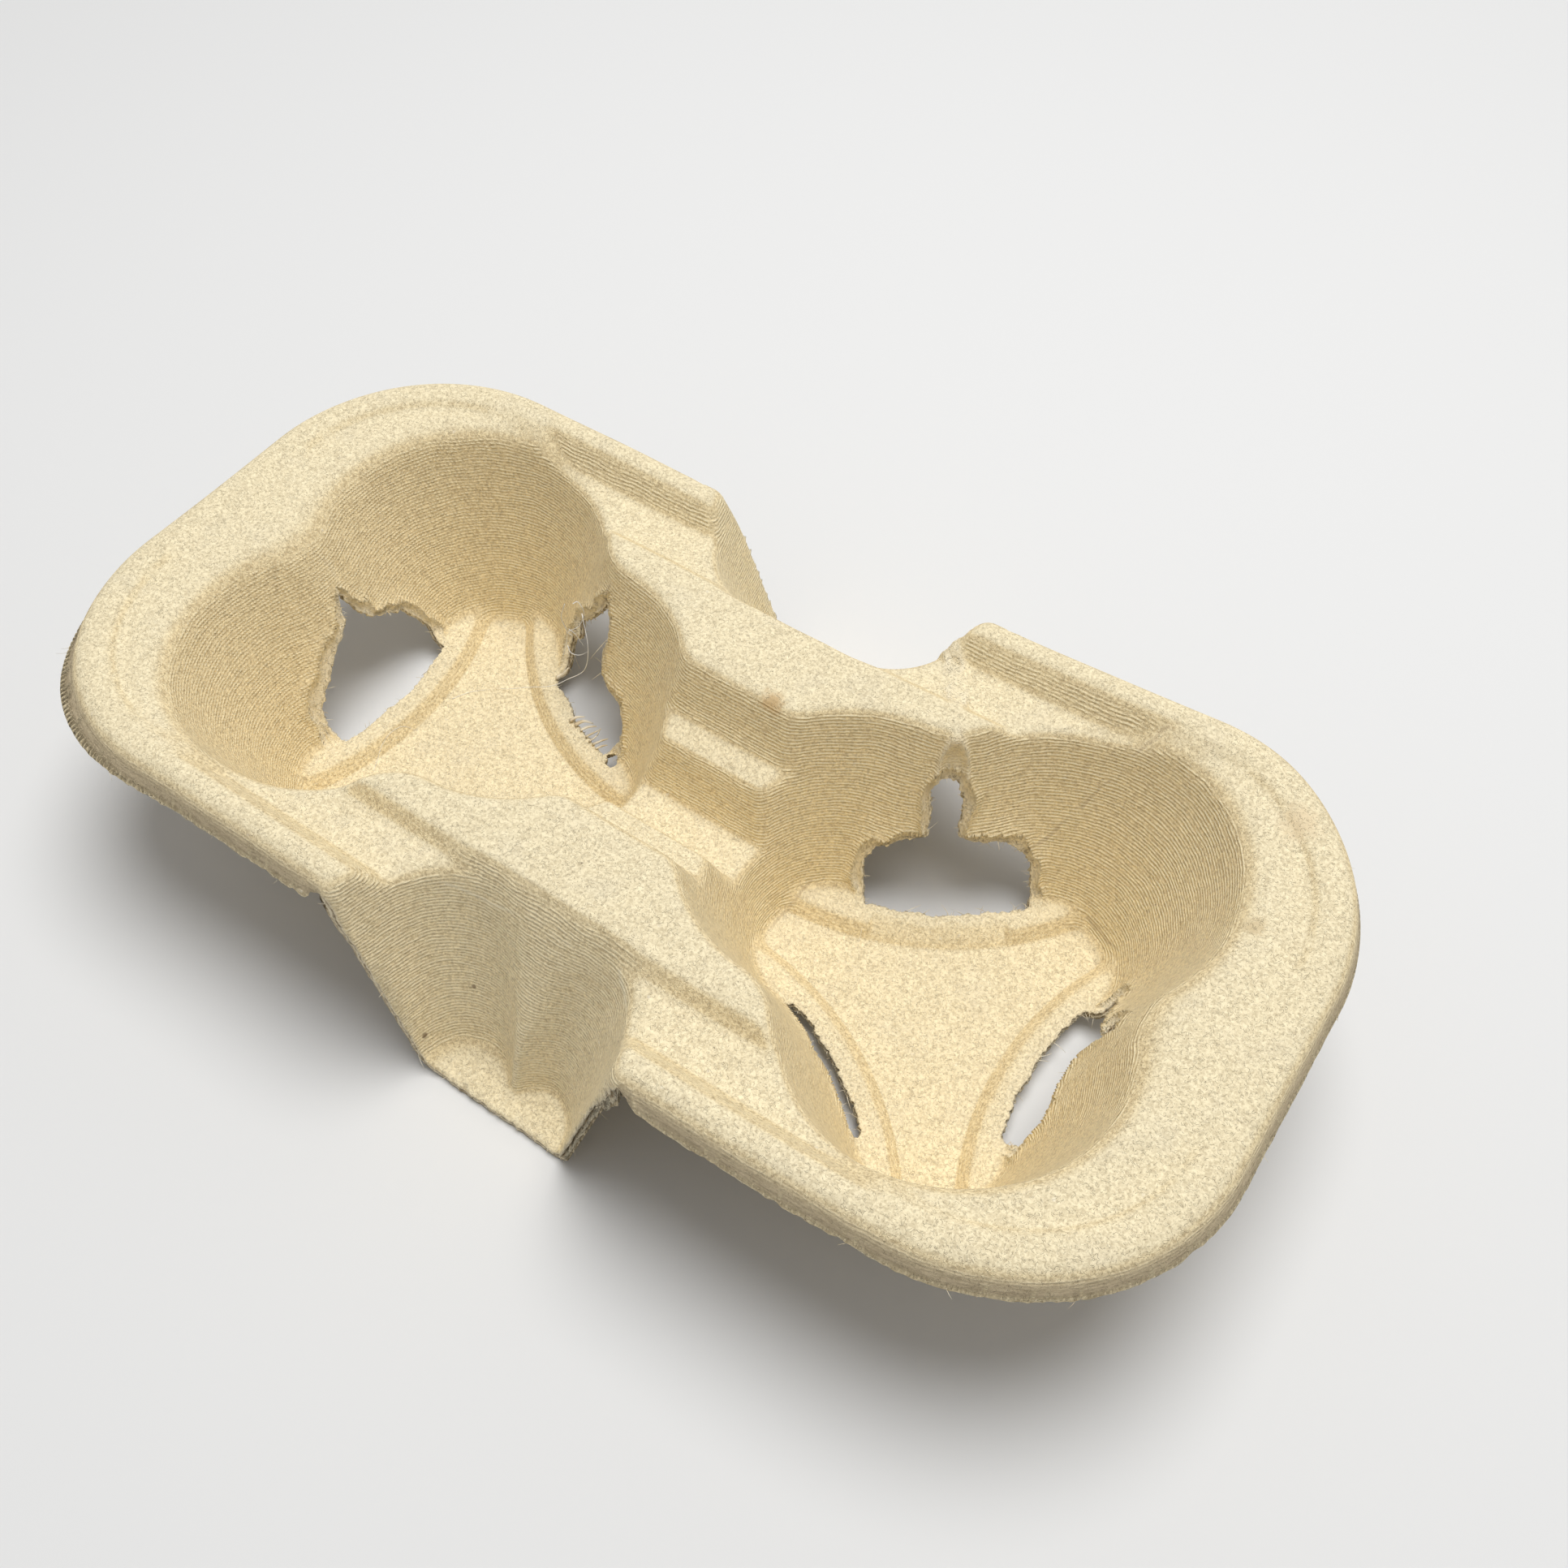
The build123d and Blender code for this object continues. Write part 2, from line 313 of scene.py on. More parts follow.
# %% Notch: two flared hollows over a tab
def hollow_depth(x, y, spread, setback, radius):
    """Depth inside one hollow of a notch: a round back and a straight, flared side."""
    flare = radians(notch_flare)
    dx, dy = x - spread, y - setback
    outward = dx * sin(flare) + dy * cos(flare)
    side = radius - (dx * cos(flare) - dy * sin(flare))
    return np.where(outward > 0, side, radius - np.hypot(dx, dy))


def notch_air(x, y, z):
    """Air in the two side notches."""
    share = (z - foot_level) / (rim_height - foot_level)
    spread, setback, radius = [a + share * (b - a) for a, b in zip(notch_foot, notch_brim)]
    lean = cos(radians(notch_lean))
    right = hollow_depth(x, np.abs(y), spread, setback, radius) * lean
    left = hollow_depth(-x, np.abs(y), spread, setback, radius) * lean
    hollows = either(right, left, 1.6 + 7.5 * ease((z - 10) / 27))
    return both(hollows, z - foot_level, 1.4 + 1.8 * ease(-x / 8))


print("rib of the notch", notch_air(np.array([0.0]), np.array([38.5]), np.array([37.4])))

# %% [markdown]
# ## The whole sheet
#
# The forms are joined into one field. The sheet's upper face is where the field is zero, found at
# each place in the plan by halving an interval of heights again and again. The mould's edges are
# crisp in the middle and softer at the ends of the pockets, so the rounding varies.


# %% Join the forms and solve for the height of a face
def brim_softness(x, y):
    """Radius of the pocket's edge: crisp in the middle, softer towards the ends."""
    outer = ease((np.abs(x) - 52) / 22)
    cusp = np.exp(-((y / 9) ** 2)) * ease((np.abs(x) - 74) / 6)
    return 1.6 + 1.5 * outer + 2.6 * cusp


def air(x, y, z):
    """Depth in the air above the sheet, and minus the depth inside or below it."""
    upper = either(rim_air(x, y, z), middle_air(x, y, z), 1.2)
    pockets = np.maximum(pocket_air(x, y, z, 1), pocket_air(x, y, z, -1))
    upper = either(upper, pockets, brim_softness(x, y))
    return either(upper, notch_air(x, y, z), 1.8 + 1.6 * np.exp(-((x / 6) ** 2)))


def height(x, y, depth=0.0):
    """Height of the upper face, or of the face that lies depth below it."""
    low, high = np.full(x.shape, -5.0), np.full(x.shape, 46.0)
    for _ in range(17):
        middle = (low + high) / 2
        above = air(x, y, middle) > -depth
        high = np.where(above, middle, high)
        low = np.where(above, low, middle)
    return (low + high) / 2


def normal(x, y, z, step=0.05):
    """Direction straight out of the sheet."""
    gradient = np.stack(
        [
            air(x + step, y, z) - air(x - step, y, z),
            air(x, y + step, z) - air(x, y - step, z),
            air(x, y, z + step) - air(x, y, z - step),
        ],
        axis=-1,
    )
    return gradient / np.linalg.norm(gradient, axis=-1, keepdims=True)


test = height(np.array([0.0, 50.3, 98.5, 0.0, 0.0]), np.array([0.0, 0.0, 0.0, 24.0, 50.0]))
print("heights of channel, pocket, crest, ridge and tab", test.round(2))

# %% [markdown]
# ## Trimmed edge
#
# A die cuts the dried sheet: level round the rim, and on a nearly upright plane across each notch
# and its tab. The cut tears fibres, so the edge is never quite straight. A quarter of the outline
# is traced once, mirrored to the other three, and then moved by seeded noise.


# %% Trace the trimmed edge
edge_step, outline_step = 0.42, 0.62


def apron(z):
    """Where the upright cut lies at a height."""
    plane = apron_edge + (lip_height - z) / lip_height * (tab_edge - apron_edge)
    return plane - 0.5 * ease((z - 33) / 6.5)


def quarter_outline():
    """Trimmed edge from the middle of a tab to the end of the rim."""
    x = np.concatenate([np.linspace(0, 20, 120), np.linspace(20.02, 28.4, 300)])
    y = np.full(x.shape, tab_edge)
    for _ in range(6):
        z = height(x, y)
        y = apron(z)
    side = np.stack([x, y, z], axis=1)
    centre_x, centre_y = length / 2 - corner_radius, width / 2 - corner_radius
    x = np.concatenate([np.linspace(28.5, 33, 60), np.linspace(33.3, centre_x, 80)])
    y = width / 2 - 0.66 * (1 - ease((x - 28.5) / 3.5))
    straight = np.stack([x, y], axis=1)
    turn = np.linspace(pi / 2, 0, 120)[1:]
    bend = np.stack([np.cos(turn), np.sin(turn)], axis=1) * corner_radius + (centre_x, centre_y)
    end = np.stack([np.full(20, length / 2), np.linspace(centre_y, 0, 21)[1:]], axis=1)
    rim = np.concatenate([straight, bend, end])
    rim_z = height(rim[:, 0], rim[:, 1])
    return np.concatenate([side, np.column_stack([rim, np.clip(rim_z, lip_height, 41)])])


def resampled(points, spacing):
    """Closed line with even steps along its length."""
    closed = np.vstack([points, points[:1]])
    steps = np.linalg.norm(np.diff(closed, axis=0), axis=1)
    travel = np.concatenate([[0], np.cumsum(steps)])
    count = int(travel[-1] / spacing)
    place = np.arange(count) * travel[-1] / count
    return np.stack([np.interp(place, travel, closed[:, i]) for i in range(3)], axis=1)


quarter = quarter_outline()
mirrors = [(1, 1, -1), (-1, 1, 1), (-1, -1, -1), (1, -1, 1)]
outline = []
for side_x, side_y, order in mirrors:
    outline.append((quarter * (side_x, side_y, 1))[::order][:-1])
outline = resampled(np.concatenate(outline), outline_step)
print("trimmed edge has", len(outline), "points")

# %% [markdown]
# ## Torn slots
#
# Each waist has a slot. On the real carrier the pulp has torn there, so every slot has its own
# ragged outline. Each outline is drawn on the wall as distances across the waist and up from the
# table, and its lower edge follows the outside of the bead.

# %% Outlines of the six slots
slots = {
    "right_far": (1, 120, [
        (12.4, 5.2), (12.9, 7.4), (13.2, 11.6), (11.3, 14.7), (7.3, 17.3), (5.0, 18.1),
        (2.7, 19.0), (2.8, 22.0), (2.8, 25.6), (2.6, 28.8), (1.7, 30.6), (0.2, 31.2),
        (-1.6, 30.3), (-2.4, 28.2), (-2.9, 25.0), (-3.0, 21.5), (-3.1, 19.4), (-5.0, 18.5),
        (-7.3, 17.7), (-9.8, 17.6), (-12.3, 16.5), (-14.6, 14.4), (-15.9, 12.4), (-16.9, 9.0),
        (-17.2, 6.2), (-17.0, 5.2),
    ]),
    "right_near": (1, -120, [
        (14.4, 5.2), (11.6, 5.9), (8.4, 7.0), (5.2, 8.6), (1.2, 11.3), (-2.0, 10.4), (-5.0, 8.2),
        (-9.0, 6.4), (-12.2, 5.2),
    ]),
    "right_outer": (1, 0, [
        (14.8, 5.2), (16.6, 8.0), (16.9, 10.6), (16.1, 12.0), (14.4, 11.8), (10.2, 14.8),
        (7.4, 16.7), (5.0, 18.9), (3.0, 21.4), (2.9, 22.4), (3.9, 22.5), (4.7, 23.8),
        (4.6, 25.4), (3.0, 27.0), (1.2, 27.0), (0.6, 25.2), (1.1, 23.4), (0.9, 21.4),
        (0.2, 19.2), (-1.2, 17.6), (-5.2, 15.4), (-8.6, 14.7), (-11.1, 13.3), (-12.8, 10.2),
        (-13.9, 7.0), (-13.8, 5.2),
    ]),
    "left_outer": (-1, 0, [
        (14.8, 5.2), (15.4, 6.8), (14.3, 10.5), (11.8, 15.0), (7.8, 17.8), (5.0, 19.4), (2.3, 22.6),
        (1.4, 27.6), (0.4, 27.4), (-0.9, 22.6), (-5.0, 19.5), (-8.2, 16.1), (-11.1, 14.2),
        (-13.5, 10.1), (-14.5, 7.0), (-14.2, 5.2),
    ]),
    "left_far": (-1, 120, [
        (13.6, 5.2), (14.2, 8.0), (13.4, 11.6), (11.3, 14.7), (7.6, 15.6), (4.4, 17.6),
        (3.7, 20.6), (3.9, 24.4), (2.9, 28.4), (1.4, 30.6), (0.4, 30.2), (-0.8, 27.2),
        (-3.2, 23.8), (-6.2, 20.4), (-8.9, 17.8), (-7.0, 15.6), (-7.6, 14.2), (-10.8, 12.8),
        (-10.6, 9.6), (-9.4, 6.8), (-8.4, 5.2),
    ]),
    "left_near": (-1, -120, [
        (12.0, 5.2), (12.2, 7.8), (10.4, 10.8), (6.0, 13.0), (2.4, 14.6), (0.4, 16.0), (-2.0, 13.9),
        (-6.4, 12.4), (-10.4, 10.4), (-12.8, 8.0), (-12.8, 5.2),
    ]),
}


def on_wall(side, turn, across, up):
    """Point of a pocket's wall that lies across a waist by one distance, and at a height."""
    turn = radians(turn)
    low, high = np.full(across.shape, 12.0), np.full(across.shape, 44.0)
    for _ in range(17):
        out = (low + high) / 2
        x = side * (pocket_middle + out * cos(turn) - across * sin(turn))
        y = out * sin(turn) + across * cos(turn)
        free = air(x, y, up) > 0
        low = np.where(free, out, low)
        high = np.where(free, high, out)
    return np.stack([x, y, up], axis=1)


def slot_loop(side, turn, drawn):
    """Closed outline of a slot in space, with the sheet on its left seen from above."""
    drawn = np.array(drawn)
    travel = np.concatenate([[0], np.cumsum(np.linalg.norm(np.diff(drawn, axis=0), axis=1))])
    place = np.linspace(0, travel[-1], 240)
    across, up = [np.interp(place, travel, drawn[:, i]) for i in range(2)]
    upper = on_wall(side, turn, across, up)
    across = np.linspace(drawn[-1, 0], drawn[0, 0], 90)[1:-1]
    out = waist_reach - np.sqrt(52.7**2 - across**2)
    x = side * (pocket_middle + out * cos(radians(turn)) - across * sin(radians(turn)))
    y = out * sin(radians(turn)) + across * cos(radians(turn))
    lower = np.stack([x, y, height(x, y)], axis=1)
    loop = resampled(np.vstack([upper, lower]), edge_step)
    area = np.sum(loop[:, 0] * np.roll(loop[:, 1], -1) - loop[:, 1] * np.roll(loop[:, 0], -1))
    return loop if area < 0 else loop[::-1]


loops = {"outline": outline}
for name, (side, turn, drawn) in slots.items():
    loops[name] = slot_loop(side, turn, drawn)
small_hole = [
    (-28.0, 11.3), (-26.9, 12.3), (-25.6, 12.1), (-24.9, 10.8), (-25.6, 9.5), (-26.9, 9.8),
    (-28.0, 11.3),
]
steps = np.linspace(0, len(small_hole) - 1, 60)[:-1]
x, y = [np.interp(steps, np.arange(len(small_hole)), values) for values in zip(*small_hole)]
loops["left_foot"] = resampled(np.stack([x, y, height(x, y)], axis=1), edge_step)
holes = [name for name in loops if name != "outline"]
print("points round the slots", {name: len(loop) for name, loop in loops.items()})

# %% [markdown]
# ## Ragged edges
#
# Noise along a closed line has to meet itself again, so it is made from whole waves that fit the
# line's length. Each edge point moves within the sheet's own face, then drops back onto it.


# %% Seeded noise along a closed line, and moves that stay on the sheet
def ragged(count, spacing, longest, shortest, seed):
    """Noise of even strength round a closed line, made of waves between two lengths."""
    dice = np.random.default_rng(seed)
    waves = np.fft.rfftfreq(count, spacing)
    kept = (waves > 1 / longest) & (waves < 1 / shortest)
    mix = np.zeros(len(waves), complex)
    mix[kept] = dice.normal(size=kept.sum()) + 1j * dice.normal(size=kept.sum())
    mix[kept] /= waves[kept] ** 0.6
    line = np.fft.irfft(mix, count)
    return line / line.std()


def settle(points, depth=0.0, rounds=3):
    """Moves points straight in or out until they lie on the upper face."""
    for _ in range(rounds):
        x, y, z = points.T
        points = points - (air(x, y, z) + depth)[:, None] * normal(x, y, z)
    return points


def edge_directions(loop):
    """Direction out of the sheet's face, and direction along the face into the sheet."""
    along = np.roll(loop, -1, axis=0) - np.roll(loop, 1, axis=0)
    along = along + np.roll(along, 1, axis=0) + np.roll(along, -1, axis=0)
    along /= np.linalg.norm(along, axis=1, keepdims=True)
    out = normal(*loop.T)
    inward = np.cross(out, along)
    return out, inward / np.linalg.norm(inward, axis=1, keepdims=True)


for seed, (name, loop) in enumerate(loops.items()):
    out, inward = edge_directions(loop)
    count = len(loop)
    if name == "outline":
        rough = 0.13 * ragged(count, outline_step, 9, 1.6, seed)
        rough += 0.10 * ragged(count, outline_step, 40, 9, seed + 50)
        crumbly = 1 + 2.0 * np.exp(-((loop[:, 0] + 35) ** 2 + (loop[:, 1] + 52) ** 2) / 40)
        cut_clean = 0.3 + 0.7 * ease((np.abs(loop[:, 0]) - 29) / 2)
        rough = np.clip(rough * crumbly * cut_clean + 0.25, 0, 1.3)
    else:
        rough = 0.14 * ragged(count, edge_step, 20, 6, seed)
        rough += 0.07 * ragged(count, edge_step, 5, 0.9, seed + 50)
        rough *= 0.4 if name == "left_foot" else 1.0
    loops[name] = settle(loop + inward * rough[:, None])
print("edges roughened")

# %% [markdown]
# ## Where the mesh needs points
#
# A plan grid of squares is split wherever the face turns quickly, so the flat parts stay light and
# the bends stay smooth. Rows of points beside the edges follow them closely.


# %% Choose points in the plan
def grid_points(sizes, turn_limit, depth=0.0):
    """Corners of squares that are split until the face turns by less than a limit."""
    unit = sizes[-1]
    scale = int(round(sizes[0] / unit))
    columns = int(length / 2 / sizes[0] + 2)
    rows = int(tab_edge / sizes[0] + 2)
    i, j = np.meshgrid(np.arange(-columns, columns), np.arange(-rows, rows), indexing="ij")
    cells = np.stack([i.ravel() * scale, j.ravel() * scale], axis=1)
    chosen = []
    for level, size in enumerate(sizes):
        span = int(round(size / unit))
        corners = np.array([(0, 0), (span, 0), (0, span), (span, span)])
        keys = cells[:, None, :] + corners[None]
        spots, back = np.unique(keys.reshape(-1, 2), axis=0, return_inverse=True)
        x, y = spots[:, 0] * unit, spots[:, 1] * unit
        z = height(x, y, depth)
        turned = normal(x, y, z)[back.reshape(keys.shape[:2])]
        middle = turned.mean(axis=1, keepdims=True)
        middle /= np.linalg.norm(middle, axis=2, keepdims=True)
        bend = 2 * np.arccos(np.clip((turned * middle).sum(axis=2).min(axis=1), -1, 1))
        split = bend > turn_limit
        if level == len(sizes) - 1:
            split[:] = False
        chosen.append(keys[~split].reshape(-1, 2))
        half = span // 2
        quarters = np.array([(0, 0), (half, 0), (0, half), (half, half)])
        cells = (cells[split][:, None, :] + quarters[None]).reshape(-1, 2)
    return np.unique(np.concatenate(chosen), axis=0) * unit


def inside_loop(points, loop):
    """True for plan points that a closed line encloses."""
    found = np.zeros(len(points), bool)
    low, high = loop[:, :2].min(axis=0), loop[:, :2].max(axis=0)
    near = np.nonzero(((points > low) & (points < high)).all(axis=1))[0]
    x, y = points[near, 0], points[near, 1]
    crossed = np.zeros(len(near), bool)
    for (x0, y0), (x1, y1) in zip(loop[:, :2], np.roll(loop[:, :2], -1, axis=0)):
        hit = (y0 > y) != (y1 > y)
        if hit.any():
            crossed ^= hit & (x < (x1 - x0) * (y - y0) / (y1 - y0 if y1 != y0 else 1) + x0)
    found[near] = crossed
    return found


def clearance(points, loop, reach):
    """Distance in the plan from points to a line's own points, up to a reach."""
    distance = np.full(len(points), reach)
    cells = {}
    for index, (x, y) in enumerate(loop[:, :2]):
        cells.setdefault((int(x // reach), int(y // reach)), []).append(index)
    keys = np.floor(points / reach).astype(int)
    order = np.lexsort((keys[:, 1], keys[:, 0]))
    starts = np.nonzero(np.any(np.diff(keys[order], axis=0), axis=1))[0] + 1
    for group in np.split(order, starts):
        i, j = keys[group[0]]
        near = [k for a in (-1, 0, 1) for b in (-1, 0, 1) for k in cells.get((i + a, j + b), [])]
        if near:
            gap = np.linalg.norm(points[group][:, None, :] - loop[near, :2][None], axis=2)
            distance[group] = np.minimum(distance[group], gap.min(axis=1))
    return distance


grid = grid_points((2.8, 1.4, 0.7, 0.35), 0.30)
print("plan grid has", len(grid), "points")

# %% [markdown]
# ## Upper face
#
# The chosen points are joined by a Delaunay triangulation, which Blender offers for flat layouts.
# It keeps the trimmed edge and the slots as fixed lines, so the mesh has clean holes.


# %% [markdown]
# ### Torn lips
#
# Where pulp tears, its edge thins out and a lip of fibre stands up a little way back. Six rows of
# points follow each slot, and each row sinks or rises by its own amount. The lip is narrower
# where two tears come close, and nearly absent on the beads, which were cut rather than torn.

# %% Torn ring beside each slot
ring_shares = (0.3, 0.65, 0.92, 1.12, 1.5, 2.2)
ring_sink = (0.58, 0.50, 0.26, -0.58, -0.28, 0.0)
plain_lip = (1.30, 0.35, 0.0)  # mean breadth, its spread and what the near side adds
lip_breadths = {"left_outer": (1.1, 0.35, 1.5)}


def wall_side(out):
    """1 on a wall, falling to a trace where the sheet lies flat, as on a bead."""
    return 1 - 0.85 * ease((out[:, 2] - 0.45) / 0.3)


def room_across(loop, inward):
    """Distance from each edge point over the sheet to the next torn edge."""
    reach = loop[None, :, :] - loop[:, None, :]
    away = np.linalg.norm(reach, axis=2)
    steps = np.abs(np.arange(len(loop))[:, None] - np.arange(len(loop))[None])
    steps = np.minimum(steps, len(loop) - steps)
    faced = (steps > 6) & ((reach * inward[:, None, :]).sum(axis=2) > 0.6 * away)
    return np.where(faced, away, 99.0).min(axis=1)


def ring_points(name, loop, seed):
    """Rows of points round a slot, with how far each sinks and how torn it is."""
    out, inward = edge_directions(loop)
    mean, spread, near_side = lip_breadths.get(name, plain_lip)
    breadth = mean + spread * ragged(len(loop), edge_step, 18, 5, seed)
    breadth += near_side * ease((1 - loop[:, 1]) / 7)
    breadth = np.clip(breadth, 0.7, 3.6) * min(1, len(loop) / 60)
    breadth = np.minimum(breadth, 0.22 * room_across(loop, inward))
    breadth = sum(np.roll(breadth, k) for k in (-2, -1, 0, 1, 2)) / 5
    on_side = wall_side(out)
    rows, sinks, torn = [], [], []
    for share, sink in zip(ring_shares, ring_sink):
        row = settle(loop + inward * (breadth * share)[:, None], rounds=4)
        rows.append(row)
        sinks.append(sink * on_side)
        torn.append((0.15 + 0.85 * ease((on_side - 0.15) / 0.85)) * (share < 1))
    return np.concatenate(rows), np.concatenate(sinks), np.concatenate(torn)


def triangles(points, lines, holes, rim):
    """Triangles between plan points that keep closed lines of point numbers."""
    edges = [(line[k], line[(k + 1) % len(line)]) for line in lines for k in range(len(line))]
    flat = [Vector((float(x), float(y))) for x, y in points]
    made, _, faces, origin, _, _ = delaunay_2d_cdt(flat, edges, [], 0, 1e-6)
    place = np.zeros(len(flat), int)
    for index, sources in enumerate(origin):
        place[sources] = index
    spots = np.array([tuple(v) for v in made])
    faces = np.array(faces)
    middles = spots[faces].mean(axis=1)
    kept = inside_loop(middles, rim)
    for hole in holes:
        kept &= ~inside_loop(middles, hole)
    return spots, faces[kept], place


def thinned(points, gap):
    """Drops points that lie closer than a gap to one before them."""
    keys = np.floor(points[:, :2] / gap).astype(int)
    _, first = np.unique(keys, axis=0, return_index=True)
    return np.sort(first)


ring, sink, torn = [], [], []
for seed, name in enumerate(holes):
    rows, sinks, tears = ring_points(name, loops[name], 200 + seed)
    free = np.ones(len(rows), bool)
    for hole in holes:
        free &= ~inside_loop(rows[:, :2], loops[hole])
    ring.append(rows[free])
    sink.append(sinks[free])
    torn.append(tears[free])
ring, sink, torn = np.concatenate(ring), np.concatenate(sink), np.concatenate(torn)
first = thinned(ring, 0.09)
ring, sink, torn = ring[first], sink[first], torn[first]
print("ring points", len(ring))

# %% [markdown]
# ### Rim and plan points
#
# The rolled rim bends tightly, so it gets its own rows, parallel to the trimmed edge. They give
# smoother highlights than squares of the grid would, for fewer triangles.

# %% Rows along the rim
rim_shares = (0.12, 0.24, 0.38, 0.75, 1.2, 1.75, 2.4, 3.2, 4.1, 5.2)
rim_rows = []
smooth_outline = resampled(outline, 0.9)
out, inward = edge_directions(smooth_outline)
level = np.stack([inward[:, 0], inward[:, 1], 0 * inward[:, 2]], axis=1)
level /= np.linalg.norm(level, axis=1, keepdims=True)
around = (np.abs(smooth_outline[:, 0]) > 31) & (smooth_outline[:, 2] < 38.5)
for share in rim_shares:
    row = (smooth_outline + level * share)[around]
    rim_rows.append(np.column_stack([row[:, :2], height(row[:, 0], row[:, 1])]))
rim_rows = np.concatenate(rim_rows)
print("rim points", len(rim_rows))

# %% Join the points into the upper face
fixed = np.concatenate(list(loops.values()))
lines, start = [], 0
for loop in loops.values():
    lines.append(list(range(start, start + len(loop))))
    start += len(loop)
dent_x, dent_y = np.meshgrid(np.arange(29.4, 40.6, 0.3), np.arange(20.6, 30, 0.3))
dent_points = np.column_stack([dent_x.ravel(), dent_y.ravel()])


def open_points(points, loops, spare):
    """Points of a plan that lie on the sheet and clear of its edges."""
    kept = inside_loop(points[:, :2], loops["outline"])
    for name in holes:
        kept &= ~inside_loop(points[:, :2], loops[name])
    points = points[kept]
    edge = np.concatenate(list(loops.values()))
    return points[clearance(points[:, :2], edge, 1.0) > spare]


near_rim = (outline_depth(grid[:, 0], grid[:, 1]) < 5.6) & (np.abs(grid[:, 0]) > 31)
plan = np.concatenate([grid[~near_rim], dent_points])
plan = plan[thinned(plan, 0.22)]
plan = open_points(np.column_stack([plan, 0 * plan[:, 0]]), loops, 0.22)
plan = plan[clearance(plan[:, :2], ring, 1.0) > 0.22]
plan[:, 2] = height(plan[:, 0], plan[:, 1])
rim_rows = open_points(rim_rows, loops, 0.06)
upper = np.concatenate([fixed, ring, rim_rows, plan])
edge_torn = [wall_side(normal(*loop.T)) * (name != "outline") for name, loop in loops.items()]
edge_torn = np.concatenate(edge_torn)
untouched = np.zeros(len(rim_rows) + len(plan))
upper_torn = np.concatenate([edge_torn, torn, untouched])
upper_sink = np.concatenate([0.22 * edge_torn, sink, untouched])
spots, upper_faces, place = triangles(
    upper[:, :2], lines, [loops[name] for name in holes], loops["outline"]
)
print("upper face", len(spots), "points,", len(upper_faces), "triangles")

# %% [markdown]
# ## Underside and torn thickness
#
# The underside follows the upper face at one thickness. Every edge point has a partner below it,
# found by going straight through the sheet, but kept in the plane of the cut. Between the two run
# a few rows that step in and out, because torn pulp splits into layers like wet card.


# %% Partners below the edge points
def partners(name, loop):
    """Points of the underside's edge, one for each point of the upper edge."""
    out, inward = edge_directions(loop)
    if name != "outline":
        return loop - out * wall * 0.85
    lean = np.arctan2(tab_edge - apron_edge, lip_height)
    upright = ease((30.0 - np.abs(loop[:, 0])) / 2.5)[:, None]
    side = np.full((len(loop), 3), (0.0, cos(lean), sin(lean)))
    side[:, 1] *= np.sign(loop[:, 1])
    cut = (1 - upright) * np.array([[0.0, 0.0, 1.0]]) + upright * side
    cut /= np.linalg.norm(cut, axis=1, keepdims=True)
    through = out - (out * cut).sum(axis=1, keepdims=True) * cut
    return loop - wall * through / np.maximum((through**2).sum(axis=1, keepdims=True), 0.4)


under_loops = {name: partners(name, loop) for name, loop in loops.items()}
under_grid = grid_points((2.8, 1.4, 0.7), 0.62, wall)
under_plan = open_points(np.column_stack([under_grid, 0 * under_grid[:, 0]]), under_loops, 0.3)
under_plan[:, 2] = height(under_plan[:, 0], under_plan[:, 1], wall)
under = np.concatenate(list(under_loops.values()) + [under_plan])
under_spots, under_faces, under_place = triangles(
    under[:, :2], lines, [under_loops[name] for name in holes], under_loops["outline"]
)
print("underside", len(under_spots), "points,", len(under_faces), "triangles")


# %% Give every point its place in space
def in_space(spots, place, points, depth):
    """Heights for all points of a triangulation: known ones kept, new ones solved."""
    full = np.column_stack([spots, height(spots[:, 0], spots[:, 1], depth)])
    full[place] = points
    return full


upper_points = in_space(spots, place, upper, 0.0)
under_points = in_space(under_spots, under_place, under, wall)
sunk, tear = np.zeros(len(spots)), np.zeros(len(spots))
sunk[place], tear[place] = upper_sink, upper_torn
print("points in space", len(upper_points) + len(under_points))

# %% [markdown]
# ## Blind tear
#
# Over the right pocket's far slot the pulp has torn half through and left a dent with a raised
# rim. It is pressed into the points that are there, before the edges are joined to the underside,
# so the hollow is real and casts its own shadow.


# %% Press the blind tear and sink the torn lips
def dent(x, y, z):
    """Depth of the blind tear above the stem of the right far slot, and how torn it looks."""
    turn = radians(120)
    across = y * cos(turn) - (x - pocket_middle) * sin(turn)
    out = (x - pocket_middle) * cos(turn) + y * sin(turn)
    aside, upward = np.abs(across + 0.3) / 2.1, np.maximum(z - 30.5, 0) / 6.9
    inside = 2.1 * (1 - (aside**2.1 + upward**2.1) ** (1 / 2.1))
    here = (out > 12) * ease((z - 28.5) / 2) * ease((4.5 + inside) / 2)
    raised = np.exp(-(((inside + 0.35) / 0.36) ** 2))
    depth = 0.36 * ease((inside + 0.1) / 0.9) - 0.62 * raised
    return here * depth, here * (0.45 * ease(inside / 0.5) + 0.8 * raised)


dent_depth, dent_torn = dent(*upper_points.T)
sunk += dent_depth
tear = np.maximum(tear, dent_torn)
upper_points -= normal(*upper_points.T) * sunk[:, None]
print("deepest", sunk.max().round(2), "and highest", (-sunk.min()).round(2), "mm")

